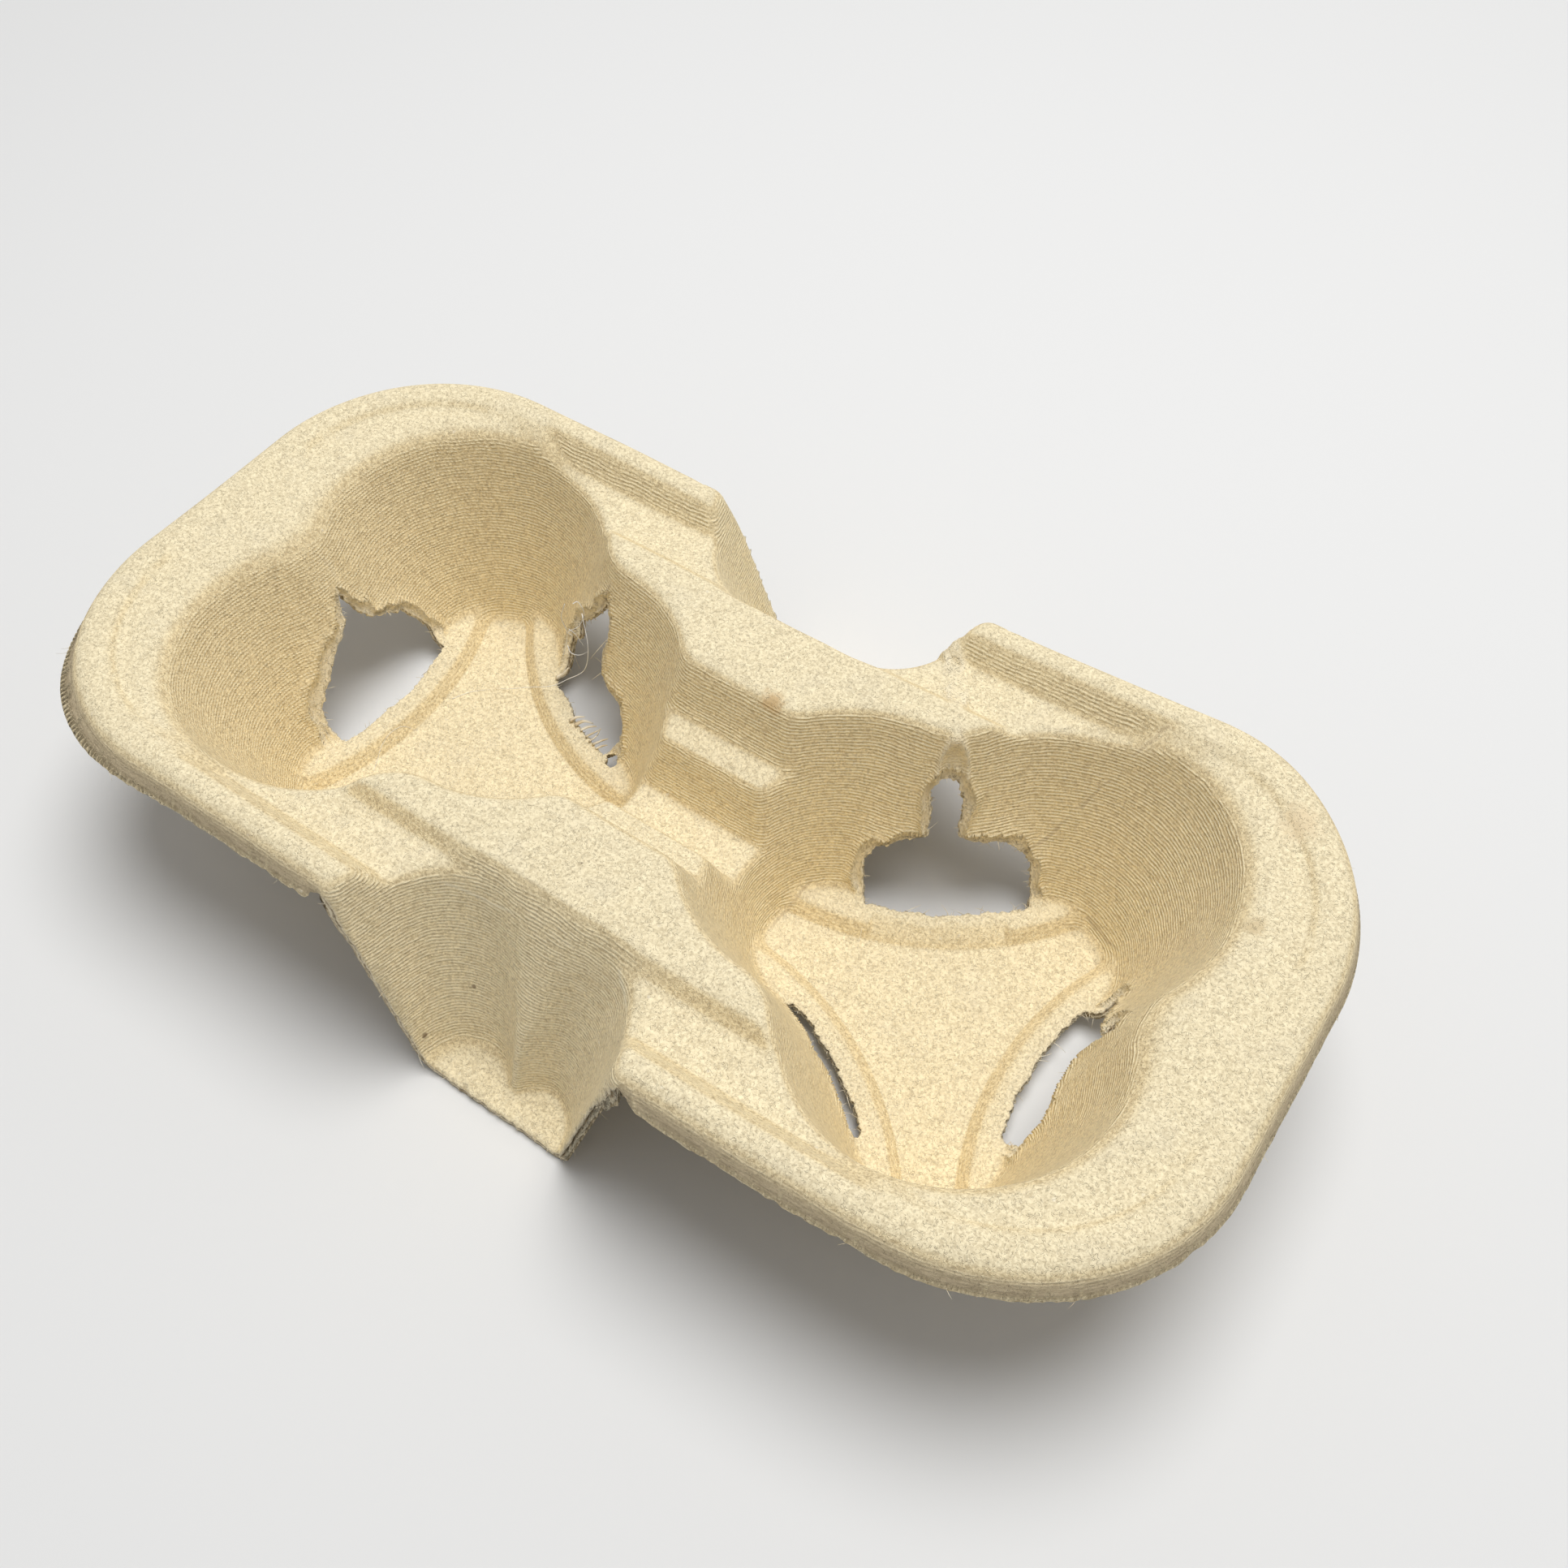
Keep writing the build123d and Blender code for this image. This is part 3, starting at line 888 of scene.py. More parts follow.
# %% Rows of split layers between the upper edge and the lower one
layer_shares = (0.2, 0.42, 0.62, 0.82)
layer_steps = (0.16, -0.22, 0.20, -0.16)
# Tone of each row: pale where the row steps out, as painted highlight, dark where it steps back, as
# painted shade in the gap
layer_shading = (0.95, 0.08, 1.10, 0.25)
layers, leaf_shading, quads = [], [], []
offset = len(upper_points) + len(under_points)
for loop_seed, (line, (name, loop)) in enumerate(zip(lines, loops.items())):
    count = len(loop)
    out, inward = edge_directions(loop)
    top = place[line]
    bottom = under_place[line] + len(upper_points)
    above, below = upper_points[place[line]], under_points[under_place[line]]
    rows = [top]
    torn_side = ease((28.5 - np.abs(loop[:, 0])) / 2) * ease((loop[:, 2] - 2.5) / 2)
    torn_side *= loop[:, 0] * loop[:, 1] < 0
    depth = 0.5 + 2.7 * torn_side if name == "outline" else np.ones(count)
    for k, (share, step) in enumerate(zip(layer_shares, layer_steps)):
        rough = 0.13 * ragged(count, 0.5, 5, 1.1, 900 + 10 * loop_seed + k)
        row = above * (1 - share) + below * share - inward * (depth * (step + rough))[:, None]
        layers.append(row)
        leaf_shading.append(layer_shading[k] + 0.25 * ragged(count, 0.5, 7, 1.1, 1700 + 10 * loop_seed + k))
        rows.append(np.arange(offset, offset + count))
        offset += count
    rows.append(bottom)
    for high, low in zip(rows, rows[1:]):
        quads.append(np.stack([np.roll(high, -1), high, low, np.roll(low, -1)], axis=1))
layers, leaf_shading = np.concatenate(layers), np.clip(np.concatenate(leaf_shading), 0, 1)
quads = np.concatenate(quads)
print("edge rows", len(layers), "points,", len(quads), "quads")

# %% [markdown]
# ## Warp
#
# Pulp shrinks unevenly as it dries and is pushed out of shape in use. The right half has slid a
# little to the far side, one corner bulges and another is tighter, so the finished mesh is shifted
# smoothly by one or two millimetres.


# %% Shift the whole sheet smoothly
bulges = [
    (86, 40, 24, 0.9, 0.0),
    (84, 44, 26, 0.0, 0.8),
    (92, -42, 18, -0.6, 0.5),
    (-92, -42, 16, -0.7, -0.7),
    (77, 52, 14, 0.5, 1.3),
    (80, -49, 14, -0.35, 1.0),
]  # place along and across, reach, and the shift along and across


def bump_at(x, y, place_x, place_y, reach):
    """Smooth hill of height 1 round a place in the plan."""
    return np.exp(-((x - place_x) ** 2 + (y - place_y) ** 2) / (2 * reach**2))


def warped(points):
    """Sheet as it dried and was handled."""
    x, y, z = points.T
    up = ease(z / 40)
    shift_x, shift_y = -1.0 * ease(-x / 95) * up, 1.2 * ease(x / 80) * up
    for place_x, place_y, reach, along, across in bulges:
        hill = bump_at(x, y, place_x, place_y, reach) * up
        shift_x += along * hill
        shift_y += across * hill
    lip = ease((39.4 - z) / 1.3) * ease((3.5 - outline_depth(x, y)) / 1.5) * (z > 30)
    lip = lip * ease((np.abs(x) - 28) / 3)
    flare = lip * (0.40 + 1.8 * bump_at(x, y, -90, -46, 14))
    beside = ease((x - 3) / 8) * (1 - ease((x - 29) / 12)) * ease((-y - 35) / 6)
    shift_x -= 1.9 * beside
    away_x = outline_depth(x - 0.2, y) - outline_depth(x + 0.2, y)
    away_y = outline_depth(x, y - 0.2) - outline_depth(x, y + 0.2)
    shift_x += flare * away_x / 0.4
    shift_y += flare * away_y / 0.4
    waves = 0.10 * np.sin(x / 9.0 + 1.3) * np.sin(y / 7.5 + 0.4) + 0.08 * np.sin(x / 5.1 - y / 6.3)
    return points + np.stack([shift_x, shift_y, waves * up], axis=1)


sheet_points = warped(np.concatenate([upper_points, under_points, layers])) * metre
print("sheet spans", sheet_points.min(axis=0).round(4), sheet_points.max(axis=0).round(4))

# %% [markdown]
# ## The sheet as a mesh
#
# Upper face, underside and edge rows become one closed mesh. Each point also carries a few values
# that the finish reads by name: how torn it is, whether it is underside, how far it lies on the
# outside of the rim, and how pale its layer is: on the edge rows pale where a layer stands out, as
# painted highlight, and dark in the gaps, as painted shade. Values on the mesh follow every bend of
# the edge, which a mask drawn from coordinates could not.


# %% Make the sheet's mesh
def store(mesh, name, values):
    """Stores one number for each point."""
    attribute = mesh.attributes.new(name, "FLOAT", "POINT")
    attribute.data.foreach_set("value", np.asarray(values, np.float32))


faces = [tuple(face) for face in upper_faces.tolist()]
faces += [tuple(face[::-1]) for face in (under_faces + len(upper_points)).tolist()]
faces += [tuple(face) for face in quads.tolist()]
mesh = bpy.data.meshes.new("pulp_sheet")
mesh.from_pydata(sheet_points.tolist(), [], faces)
mesh.validate()
mesh.shade_smooth()
plain, split = np.zeros(len(under_points)), np.ones(len(layers))
is_under = np.concatenate([0 * tear, plain + 1, 0 * split])
all_points = np.concatenate([upper_points, under_points, layers])
outside = ease((1.7 - outline_depth(all_points[:, 0], all_points[:, 1])) / 1.5)
outside *= (np.abs(all_points[:, 0]) > 29) * (1 - is_under) * ease((all_points[:, 2] - 38.1) / 0.7)
store(mesh, "torn", np.concatenate([tear, plain, split]))
store(mesh, "under", is_under)
store(mesh, "outer", outside)
store(mesh, "leaf", np.concatenate([0.9 + 0.1 * tear, plain + 0.4, leaf_shading]))
sheet = bpy.data.objects.new("pulp_sheet", mesh)
bpy.context.scene.collection.objects.link(sheet)
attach(sheet, "root")
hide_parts("cup_carrier")
print("sheet has", sum(len(p.vertices) - 2 for p in mesh.polygons), "triangles")

# %% [markdown]
# ## Pulp
#
# Dry pulp is a felt of short fibres. Seen close, the flat tops are mottled with pale tufts and
# darker curls, and the walls carry the print of the forming wire as fine broken lines. Both could
# be painted as pictures, but noise in the object's own space has no seams and no stretch on the
# steep walls, so the finish is built from node groups that read the object's coordinates.


# %% Helper: nodes of one shader tree
def with_alpha(value):
    """Opaque colour from three numbers; a node's output passes through."""
    return (*value, 1) if isinstance(value, tuple) else value


class Nodes:
    """Adds nodes to one shader tree and hands back their outputs."""

    def __init__(self, tree):
        self.tree = tree

    def feed(self, socket, value):
        """Links an input to a node's output, or sets its value."""
        if isinstance(value, bpy.types.NodeSocket):
            self.tree.links.new(value, socket)
        else:
            socket.default_value = value

    def add(self, kind, feeds=None, **options):
        """Adds a node, sets its options and feeds its inputs."""
        made = self.tree.nodes.new("ShaderNode" + kind)
        for name, value in options.items():
            setattr(made, name, value)
        for name, value in (feeds or {}).items():
            self.feed(made.inputs[name], value)
        return made.outputs

    def math(self, operation, *values):
        """Result of a math node."""
        return self.add("Math", dict(enumerate(values)), operation=operation)[0]

    def times(self, first, second):
        return self.math("MULTIPLY", first, second)

    def plus(self, first, second):
        return self.math("ADD", first, second)

    def scaled(self, value, factor, shift):
        """Value times a factor, plus a shift."""
        return self.math("MULTIPLY_ADD", value, factor, shift)

    def largest(self, first, second):
        return self.math("MAXIMUM", first, second)

    def rest_of(self, share):
        """What a share leaves of 1."""
        return self.math("SUBTRACT", 1.0, share)

    def clamped(self, value):
        return self.add("Clamp", {"Value": value})[0]

    def band(self, value, low, high, to_low=0.0, to_high=1.0):
        """Smooth change from one value to another between two limits."""
        feeds = {"Value": value, "From Min": low, "From Max": high, "To Min": to_low}
        feeds["To Max"] = to_high
        return self.add("MapRange", feeds, interpolation_type="SMOOTHSTEP")[0]

    def vector(self, operation, first, second, output="Vector"):
        """Result of a vector math node."""
        return self.add("VectorMath", {0: first, 1: second}, operation=operation)[output]

    def grown(self, vector, factor):
        """Vector times a number."""
        return self.add("VectorMath", {0: vector, "Scale": factor}, operation="SCALE")[0]

    def axes(self, vector):
        """Parts X, Y and Z of a vector."""
        return self.add("SeparateXYZ", {"Vector": vector})

    def moved(self, vector, shift, stretch=(1, 1, 1)):
        """Shifts and stretches a coordinate."""
        return self.add("Mapping", {"Vector": vector, "Location": shift, "Scale": stretch})[0]

    def noise(self, vector, scale, detail=2.0, roughness=0.5, distortion=0.0):
        """Value of a noise texture."""
        feeds = {"Vector": vector, "Scale": scale, "Detail": detail}
        feeds.update({"Roughness": roughness, "Distortion": distortion})
        return self.add("TexNoise", feeds)[0]

    def blend(self, share, first, second):
        """Mix of two colours."""
        made = self.tree.nodes.new("ShaderNodeMix")
        made.data_type = "RGBA"
        for index, value in ((0, share), (6, with_alpha(first)), (7, with_alpha(second))):
            self.feed(made.inputs[index], value)
        return made.outputs[2]

    def painted(self, name):
        """Value that the mesh holds at each point."""
        return self.add("Attribute", attribute_name=name)["Fac"]

    def group(self, group, feeds):
        """Outputs of a node group placed in this tree."""
        return self.add("Group", feeds, node_tree=group.tree)


def new_group(name, inputs, outputs):
    """Starts a node group. An input has a value, or None where it takes a vector."""
    tree = bpy.data.node_groups.new(name, "ShaderNodeTree")
    for socket, value in inputs.items():
        kind = "NodeSocketVector" if value is None else "NodeSocketFloat"
        made = tree.interface.new_socket(socket, in_out="INPUT", socket_type=kind)
        if value is not None:
            made.default_value = value
    for socket in outputs:
        tree.interface.new_socket(socket, in_out="OUTPUT", socket_type="NodeSocketFloat")
    given = tree.nodes.new("NodeGroupInput").outputs
    return Nodes(tree), given, tree.nodes.new("NodeGroupOutput").inputs


print("node helper ready")

# %% [markdown]
# ### Fibres
#
# A contour line of smooth noise is a thin curl, much like a fibre. Two families of curls, one
# pale and one dark, are broken up by a third noise and laid over soft mottling. The group hands
# the three tones out one by one, so that each finish can weigh them in its own way.

# %% Group: fibres and mottling
fibres, given, result = new_group(
    "pulp_fibres", {"Vector": None, "Scale": 1000.0}, ("Soft", "Pale", "Dark", "Height")
)
fine, coarse, curl = [fibres.times(given["Scale"], share) for share in (1.05, 0.34, 0.55)]
soft = fibres.noise(given["Vector"], fine, 3.0, 0.62, 0.6)
cloud = fibres.noise(fibres.moved(given["Vector"], (0.31, 0.17, 0.05)), coarse, 2.0, 0.5)


def curls(place, breadth, low, high):
    """Thin broken contour lines of noise."""
    line = fibres.noise(place, curl, 1.0, 0.45, 1.3)
    away = fibres.math("ABSOLUTE", fibres.math("SUBTRACT", line, 0.5))
    breaks = fibres.band(fibres.noise(place, fine, 1.0), low, high)
    return fibres.times(fibres.band(away, breadth, 0.0), breaks)


pale_curls = curls(fibres.moved(given["Vector"], (0.11, 0.23, 0.42)), 0.050, 0.46, 0.60)
dark_curls = curls(fibres.moved(given["Vector"], (0.53, 0.71, 0.29)), 0.040, 0.53, 0.65)
tone = fibres.plus(fibres.times(soft, 0.84), fibres.times(cloud, 0.16))
fibres.feed(result["Soft"], fibres.band(tone, 0.30, 0.67))
fibres.feed(result["Pale"], pale_curls)
fibres.feed(result["Dark"], dark_curls)
fibres.feed(result["Height"], fibres.plus(fibres.times(soft, 0.7), fibres.times(pale_curls, 0.5)))
print("fibre group has", len(fibres.tree.nodes), "nodes")

# %% [markdown]
# ### Forming wire
#
# The wire cloth of the mould prints lines about 0.6 mm apart. They run level round the walls, a
# little wavy, and fade in and out as short dashes. One lobe shows both directions of the cloth.
# Sine waves of the height give such lines for a few nodes, where a picture would need a layout.

# %% Group: print of the forming wire
wire, given, result = new_group(
    "forming_wire", {"Vector": None, "Pitch": 0.0006, "Cross": 0.0}, ("Print",)
)
axes = wire.axes(given["Vector"])
sway = wire.math("SUBTRACT", wire.noise(given["Vector"], 120.0, 3.0), 0.5)
sway = wire.times(sway, 0.0016)


def lines_along(axis):
    """Even lines across an axis, bent by the sway."""
    turns = wire.math("DIVIDE", wire.plus(axis, sway), given["Pitch"])
    return wire.scaled(wire.math("SINE", wire.times(turns, 2 * pi)), 0.5, 0.5)


dashes = wire.noise(wire.moved(given["Vector"], (0.2, 0.4, 0.6), (520, 520, 1500)), 1.0, 2.0, 0.6)
dashes = wire.band(dashes, 0.34, 0.62)
cross_lines = wire.times(lines_along(axes["Y"]), given["Cross"])
cloth = wire.times(lines_along(axes["Z"]), wire.rest_of(cross_lines))
wire.feed(result["Print"], wire.times(cloth, wire.scaled(dashes, 0.80, 0.20)))
print("wire group has", len(wire.tree.nodes), "nodes")

# %% [markdown]
# ### Specks, stains and creases
#
# Recycled pulp holds tiny dark specks and, here and there, a pale fleck. Each is a cell of a
# Voronoi pattern that is kept only where its own random number is high. Stains are soft patches
# at known places, broken up by noise. A crease is a thin line between two places on the sheet,
# where the pulp has cracked and one side catches the light. It is found by its distance alone,
# which keeps it sharp however coarse the mesh is.

# %% Group: specks
specks, given, result = new_group(
    "pulp_specks", {"Vector": None, "Scale": 400.0, "Share": 0.03, "Size": 0.12}, ("Mask",)
)
wobble = specks.scaled(specks.noise(given["Vector"], 2500.0, 1.0), 0.0006, -0.0003)
shake = specks.add("CombineXYZ", {"X": wobble, "Y": wobble, "Z": wobble})[0]
shaken = specks.vector("ADD", given["Vector"], shake)
cell = specks.add("TexVoronoi", {"Vector": shaken, "Scale": given["Scale"]})
chance = specks.add("SeparateColor", {"Color": cell["Color"]})[0]
chosen = specks.math("GREATER_THAN", chance, specks.rest_of(given["Share"]))
speck = specks.band(cell["Distance"], given["Size"], 0.0)
specks.feed(result["Mask"], specks.times(chosen, speck))
print("speck group has", len(specks.tree.nodes), "nodes")

# %% Group: a soft stain at a place
stain, given, result = new_group(
    "soft_stain", {"Vector": None, "Place": None, "Reach": 0.01, "Rough": 0.5}, ("Mask",)
)
gap = stain.vector("DISTANCE", given["Vector"], given["Place"], "Value")
spread = stain.rest_of(stain.math("DIVIDE", gap, given["Reach"]))
spread = stain.plus(spread, stain.math("SUBTRACT", given["Rough"], 0.55))
stain.feed(result["Mask"], stain.band(spread, 0.0, 0.7))
print("stain group has", len(stain.tree.nodes), "nodes")

# %% Group: distance from a crease between two places
crease, given, result = new_group(
    "crease_gap", {"Vector": None, "Start": None, "Run": None, "Through": None}, ("Square",)
)
reached = crease.vector("SUBTRACT", given["Vector"], given["Start"])
covered = crease.vector("DOT_PRODUCT", reached, given["Run"], "Value")
whole = crease.vector("DOT_PRODUCT", given["Run"], given["Run"], "Value")
share = crease.clamped(crease.math("DIVIDE", covered, whole))
apart = crease.vector("SUBTRACT", reached, crease.grown(given["Run"], share))
depth_apart = crease.vector("DOT_PRODUCT", apart, given["Through"], "Value")
apart = crease.vector("DOT_PRODUCT", apart, apart, "Value")
crease.feed(result["Square"], crease.scaled(crease.times(depth_apart, depth_apart), -0.985, apart))
print("crease group has", len(crease.tree.nodes), "nodes")

# %% [markdown]
# ### Finish of the sheet
#
# The wire side shows on the walls, and the flat tops are the fuller, paler felt; the walls are also
# painted a little darker and more orange, as shade and light bounced inside the pockets. The
# outside of the rim is painted darker and dull, as the shade under its rolled lip, and streaked.
# Torn pulp is pale and has no print, and its split layers are painted pale and dark, as highlight
# on those that stand out and shade in the gaps. The underside faced the drying air and stayed
# coarse. Which finish lies where comes from the slope of the face and from the values stored in the
# mesh, so no part of it has to be cut apart.

# %% Material: where each finish lies
pulp = bpy.data.materials.new("moulded_pulp")
pulp.use_nodes = True
skin = Nodes(pulp.node_tree)
shader = pulp.node_tree.nodes["Principled BSDF"].inputs
spot = skin.add("TexCoord")
here = spot["Object"]
steep = skin.math("ABSOLUTE", skin.axes(spot["Normal"])["Z"])
wall_share = skin.band(steep, 0.93, 0.70)
torn_share, under_share, outer_share = [skin.painted(name) for name in ("torn", "under", "outer")]
bare_share = skin.largest(torn_share, under_share)
print_share = skin.times(skin.band(steep, 0.70, 0.48), skin.rest_of(bare_share))
print_share = skin.times(print_share, skin.rest_of(outer_share))
felt = skin.group(fibres, {"Vector": here, "Scale": 1900.0})
cross_share = skin.times(skin.band(skin.axes(here)["X"], -0.064, -0.074), 0.85)
wire_print = skin.group(wire, {"Vector": here, "Pitch": 0.0006, "Cross": cross_share})["Print"]
wire_print = skin.times(wire_print, print_share)
print("finish masks ready")

# %% [markdown]
# ### Colours
#
# Each finish is a mix between a dark and a pale straw colour, and the felt decides which. Fibre
# catches the light in single strands, so a mix steered by the curls looks like pulp, while one
# flat colour would look like plaster. The finishes are then laid over each other by their masks.


# %% Material: colours
def mottled(pale, dark):
    """Felt tone with its pale and dark curls weighed in."""
    darkened = skin.scaled(felt["Dark"], dark, felt["Soft"])
    return skin.clamped(skin.scaled(felt["Pale"], pale, darkened))


mottle, wall_mottle = mottled(0.30, -0.42), mottled(0.55, -0.20)
scuffs = skin.band(skin.noise(skin.moved(here, (0.9, 0.4, 0.2)), 95.0, 4.0, 0.62), 0.50, 0.72)
streaks = skin.noise(skin.moved(here, (0, 0, 0), (240, 240, 2600)), 1.0, 3.0, 0.6)
leaf_tone_and_shading = skin.scaled(mottle, 0.35, skin.math("SUBTRACT", skin.painted("leaf"), 0.15))
flat_colour = skin.blend(mottle, (0.64, 0.54, 0.35), (0.98, 0.86, 0.59))
flat_colour = skin.blend(skin.times(scuffs, 0.20), flat_colour, (0.70, 0.635, 0.49))
# Walls: the wire side's own tone, and also painted a little darker and more orange, as shade and
# light bounced inside the pockets
wall_colour_and_shade = skin.blend(wall_mottle, (0.55, 0.43, 0.245), (0.98, 0.825, 0.52))
wall_colour_and_shade = skin.blend(skin.times(wire_print, 0.85), wall_colour_and_shade, (0.97, 0.86, 0.59))
# Outside of the rim: painted shade under the rolled lip, with streaks
outer_shade_colour = skin.blend(skin.band(streaks, 0.30, 0.70), (0.36, 0.285, 0.185), (0.62, 0.51, 0.345))
# Torn pulp is pale; on the edge rows the pale and dark ends are painted highlight on layers that
# stand out and painted shade in the gaps
torn_colour_and_shading = skin.blend(skin.band(leaf_tone_and_shading, 0.0, 1.0), (0.36, 0.26, 0.145), (0.94, 0.83, 0.60))
under_colour = skin.blend(mottle, (0.50, 0.41, 0.26), (0.72, 0.60, 0.40))
colour = skin.blend(wall_share, flat_colour, wall_colour_and_shade)
colour = skin.blend(skin.times(skin.times(outer_share, wall_share), 0.85), colour, outer_shade_colour)
colour = skin.blend(torn_share, colour, torn_colour_and_shading)
colour = skin.blend(under_share, colour, under_colour)
print("base colours mixed")

# %% Material: specks and stains
dark_specks = skin.group(specks, {"Vector": here, "Scale": 300.0, "Share": 0.030, "Size": 0.10})
colour = skin.blend(skin.times(dark_specks["Mask"], 0.8), colour, (0.17, 0.12, 0.08))
elsewhere = skin.moved(here, (0.4, 0.1, 0.7))
flecks = skin.group(specks, {"Vector": elsewhere, "Scale": 430.0, "Share": 0.05, "Size": 0.2})
colour = skin.blend(skin.times(flecks["Mask"], 0.55), colour, (0.97, 0.90, 0.74))
stains = [
    ((0.0063, 0.0166, 0.0401), 0.0032, (0.60, 0.41, 0.20)),
    ((0.0887, 0.0212, 0.0415), 0.0026, (0.66, 0.53, 0.32)),
    ((0.0873, 0.0412, 0.0428), 0.0045, (0.80, 0.65, 0.42)),
    ((-0.0160, -0.0518, 0.0074), 0.0008, (0.20, 0.12, 0.06)),
    ((-0.0118, -0.0426, 0.0148), 0.0006, (0.22, 0.15, 0.09)),
]
stain_edge = skin.noise(here, 900.0, 3.0, 0.6)
for stain_place, stain_reach, stain_colour in stains:
    feeds = {"Vector": here, "Place": stain_place, "Reach": stain_reach, "Rough": stain_edge}
    mask = skin.group(stain, feeds)["Mask"]
    colour = skin.blend(skin.times(mask, 0.8), colour, stain_colour)
print(len(stains), "stains")

# %% [markdown]
# ### Cracks and folds
#
# Bending has cracked the sheet in a few places and folded it in one notch. Each crack is painted as
# a dark line of shade with a band of painted highlight beside it, and each fold as a pale line of
# painted highlight. Each line runs through listed places on the sheet, in millimetres. A single
# noise bends them all. The line is cut straight through the sheet along one sight line, like a
# stroke drawn from there.

# %% Material: cracks and folds
crack_paths = [
    [(48.6, 29.3, 13.2), (51.8, 32.6, 17.0), (55.2, 37.0, 25.1), (60.0, 41.8, 38.1)]
    + [(62.7, 46.4, 42.8)],
    [(19.8, 9.4, 6.3), (18.4, 4.7, 2.8), (17.8, -0.5, 2.0)],
    [(63.5, 30.8, 4.8), (67.9, 29.1, 5.2), (72.5, 25.7, 8.3)],
    [(-80.7, 1.5, 35.1), (-77.7, 1.5, 26.0)],
    [(-36.3, 24.6, 28.9), (-35.4, 25.5, 32.6), (-34.2, 26.3, 37.1)],
    [(22.6, -12.4, 5.6), (25.4, -12.0, 5.0)],
]
fold_paths = [
    [(-17.5, -37.2, 34.7), (-13.1, -35.9, 33.3), (-8.9, -35.5, 33.4), (-2.0, -35.9, 37.4)]
    + [(0.3, -37.4, 37.4)],
    [(0.3, -37.4, 37.4), (3.5, -36.0, 36.7), (6.1, -35.3, 35.5)],
    [(14.2, -35.0, 36.3), (16.0, -36.3, 34.9), (17.9, -38.3, 32.8)],
]
eye = Vector((0.089519, -0.104712, 0.228261))
bend = skin.scaled(skin.noise(here, 260.0, 3.0, 0.6), 0.0022, -0.0011)
bent = skin.vector("ADD", here, skin.add("CombineXYZ", {"X": bend, "Z": bend})[0])


def lines_through(paths, breadth):
    """Mask of thin lines along paths on the sheet."""
    square = 1.0
    for path in paths:
        for start, end in zip(path, path[1:]):
            start, end = Vector(start) * metre, Vector(end) * metre
            through = (start - eye).normalized()
            run = (end - start) - through * (end - start).dot(through)
            feeds = {"Vector": bent, "Start": start, "Run": run, "Through": through}
            square = skin.math("MINIMUM", square, skin.group(crease, feeds)["Square"])
    return skin.band(skin.math("SQRT", square), breadth, 0.0)


cracked = lines_through(crack_paths, 0.00085)
fold_highlight = lines_through(fold_paths, 0.00042)
# Painted highlight in a band beside each crack, painted shade along its middle, and a pale painted
# highlight along each fold
crack_highlight, crack_shade = skin.band(cracked, 0.05, 0.40), skin.band(cracked, 0.55, 0.90)
colour = skin.blend(skin.times(crack_highlight, 0.22), colour, (0.97, 0.86, 0.60))
colour = skin.blend(skin.times(crack_shade, 0.34), colour, (0.40, 0.29, 0.17))
colour = skin.blend(skin.times(fold_highlight, 0.55), colour, (0.97, 0.88, 0.65))
skin.feed(shader["Base Color"], colour)
print("colour tree has", len(skin.tree.nodes), "nodes")

# %% [markdown]
# ### Dullness and relief
#
# Pulp is matt, and only its pale strands shine a little. The felt, the wire's print and the
# streaks of the rim are too fine to model, so they are bumps of about a tenth of a millimetre.
# Everything larger is in the mesh, where it shows in outline and casts a shadow.

# %% Material: dullness and relief
shader["Specular IOR Level"].default_value = 0.22
skin.feed(shader["Roughness"], skin.scaled(felt["Pale"], -0.14, 0.93))
relief = skin.times(felt["Height"], skin.scaled(print_share, -0.45, 1.0))
relief = skin.times(relief, skin.scaled(bare_share, 1.2, 1.0))
relief = skin.plus(relief, wire_print)
relief = skin.plus(relief, skin.times(streaks, outer_share))
skin.feed(shader["Normal"], skin.add("Bump", {"Distance": 0.00018, "Height": relief})["Normal"])
mesh.materials.append(pulp)
print("material has", len(skin.tree.nodes), "nodes")

# %% [markdown]
# ## Loose fibres
#
# Torn pulp bristles with single fibres, and the trimmed rim has a fine fuzz. Each fibre is a thin
# three-sided tube along a bent line, which costs a few triangles. Blender's hair curves would be
# quicker to grow, but a tube is a plain mesh that can be measured and kept with the sheet.


# %% Tubes along bent lines
def tubes(paths, radii):
    """Points and faces of thin tubes that narrow to their tips."""
    spots, faces, base = [], [], 0
    for path, radius in zip(paths, radii):
        path = np.asarray(path, float)
        run = np.gradient(path, axis=0)
        run /= np.linalg.norm(run, axis=1, keepdims=True) + 1e-9
        side = np.cross(run, (0.31, 0.52, 0.79))
        side /= np.linalg.norm(side, axis=1, keepdims=True) + 1e-9
        over = np.cross(run, side)
        slim = radius * (1 - 0.65 * np.linspace(0, 1, len(path)) ** 2)[:, None]
        rows = [path + slim * (cos(a) * side + sin(a) * over) for a in (0, 2 * pi / 3, 4 * pi / 3)]
        spots.append(np.stack(rows, axis=1).reshape(-1, 3))
        for first in range(base, base + 3 * len(path) - 3, 3):
            for a, b in ((0, 1), (1, 2), (2, 0)):
                faces.append((first + a, first + b, first + 3 + b, first + 3 + a))
        last = base + 3 * len(path) - 3
        faces += [(base + 2, base + 1, base), (last, last + 1, last + 2)]
        base = last + 3
    return np.concatenate(spots), faces


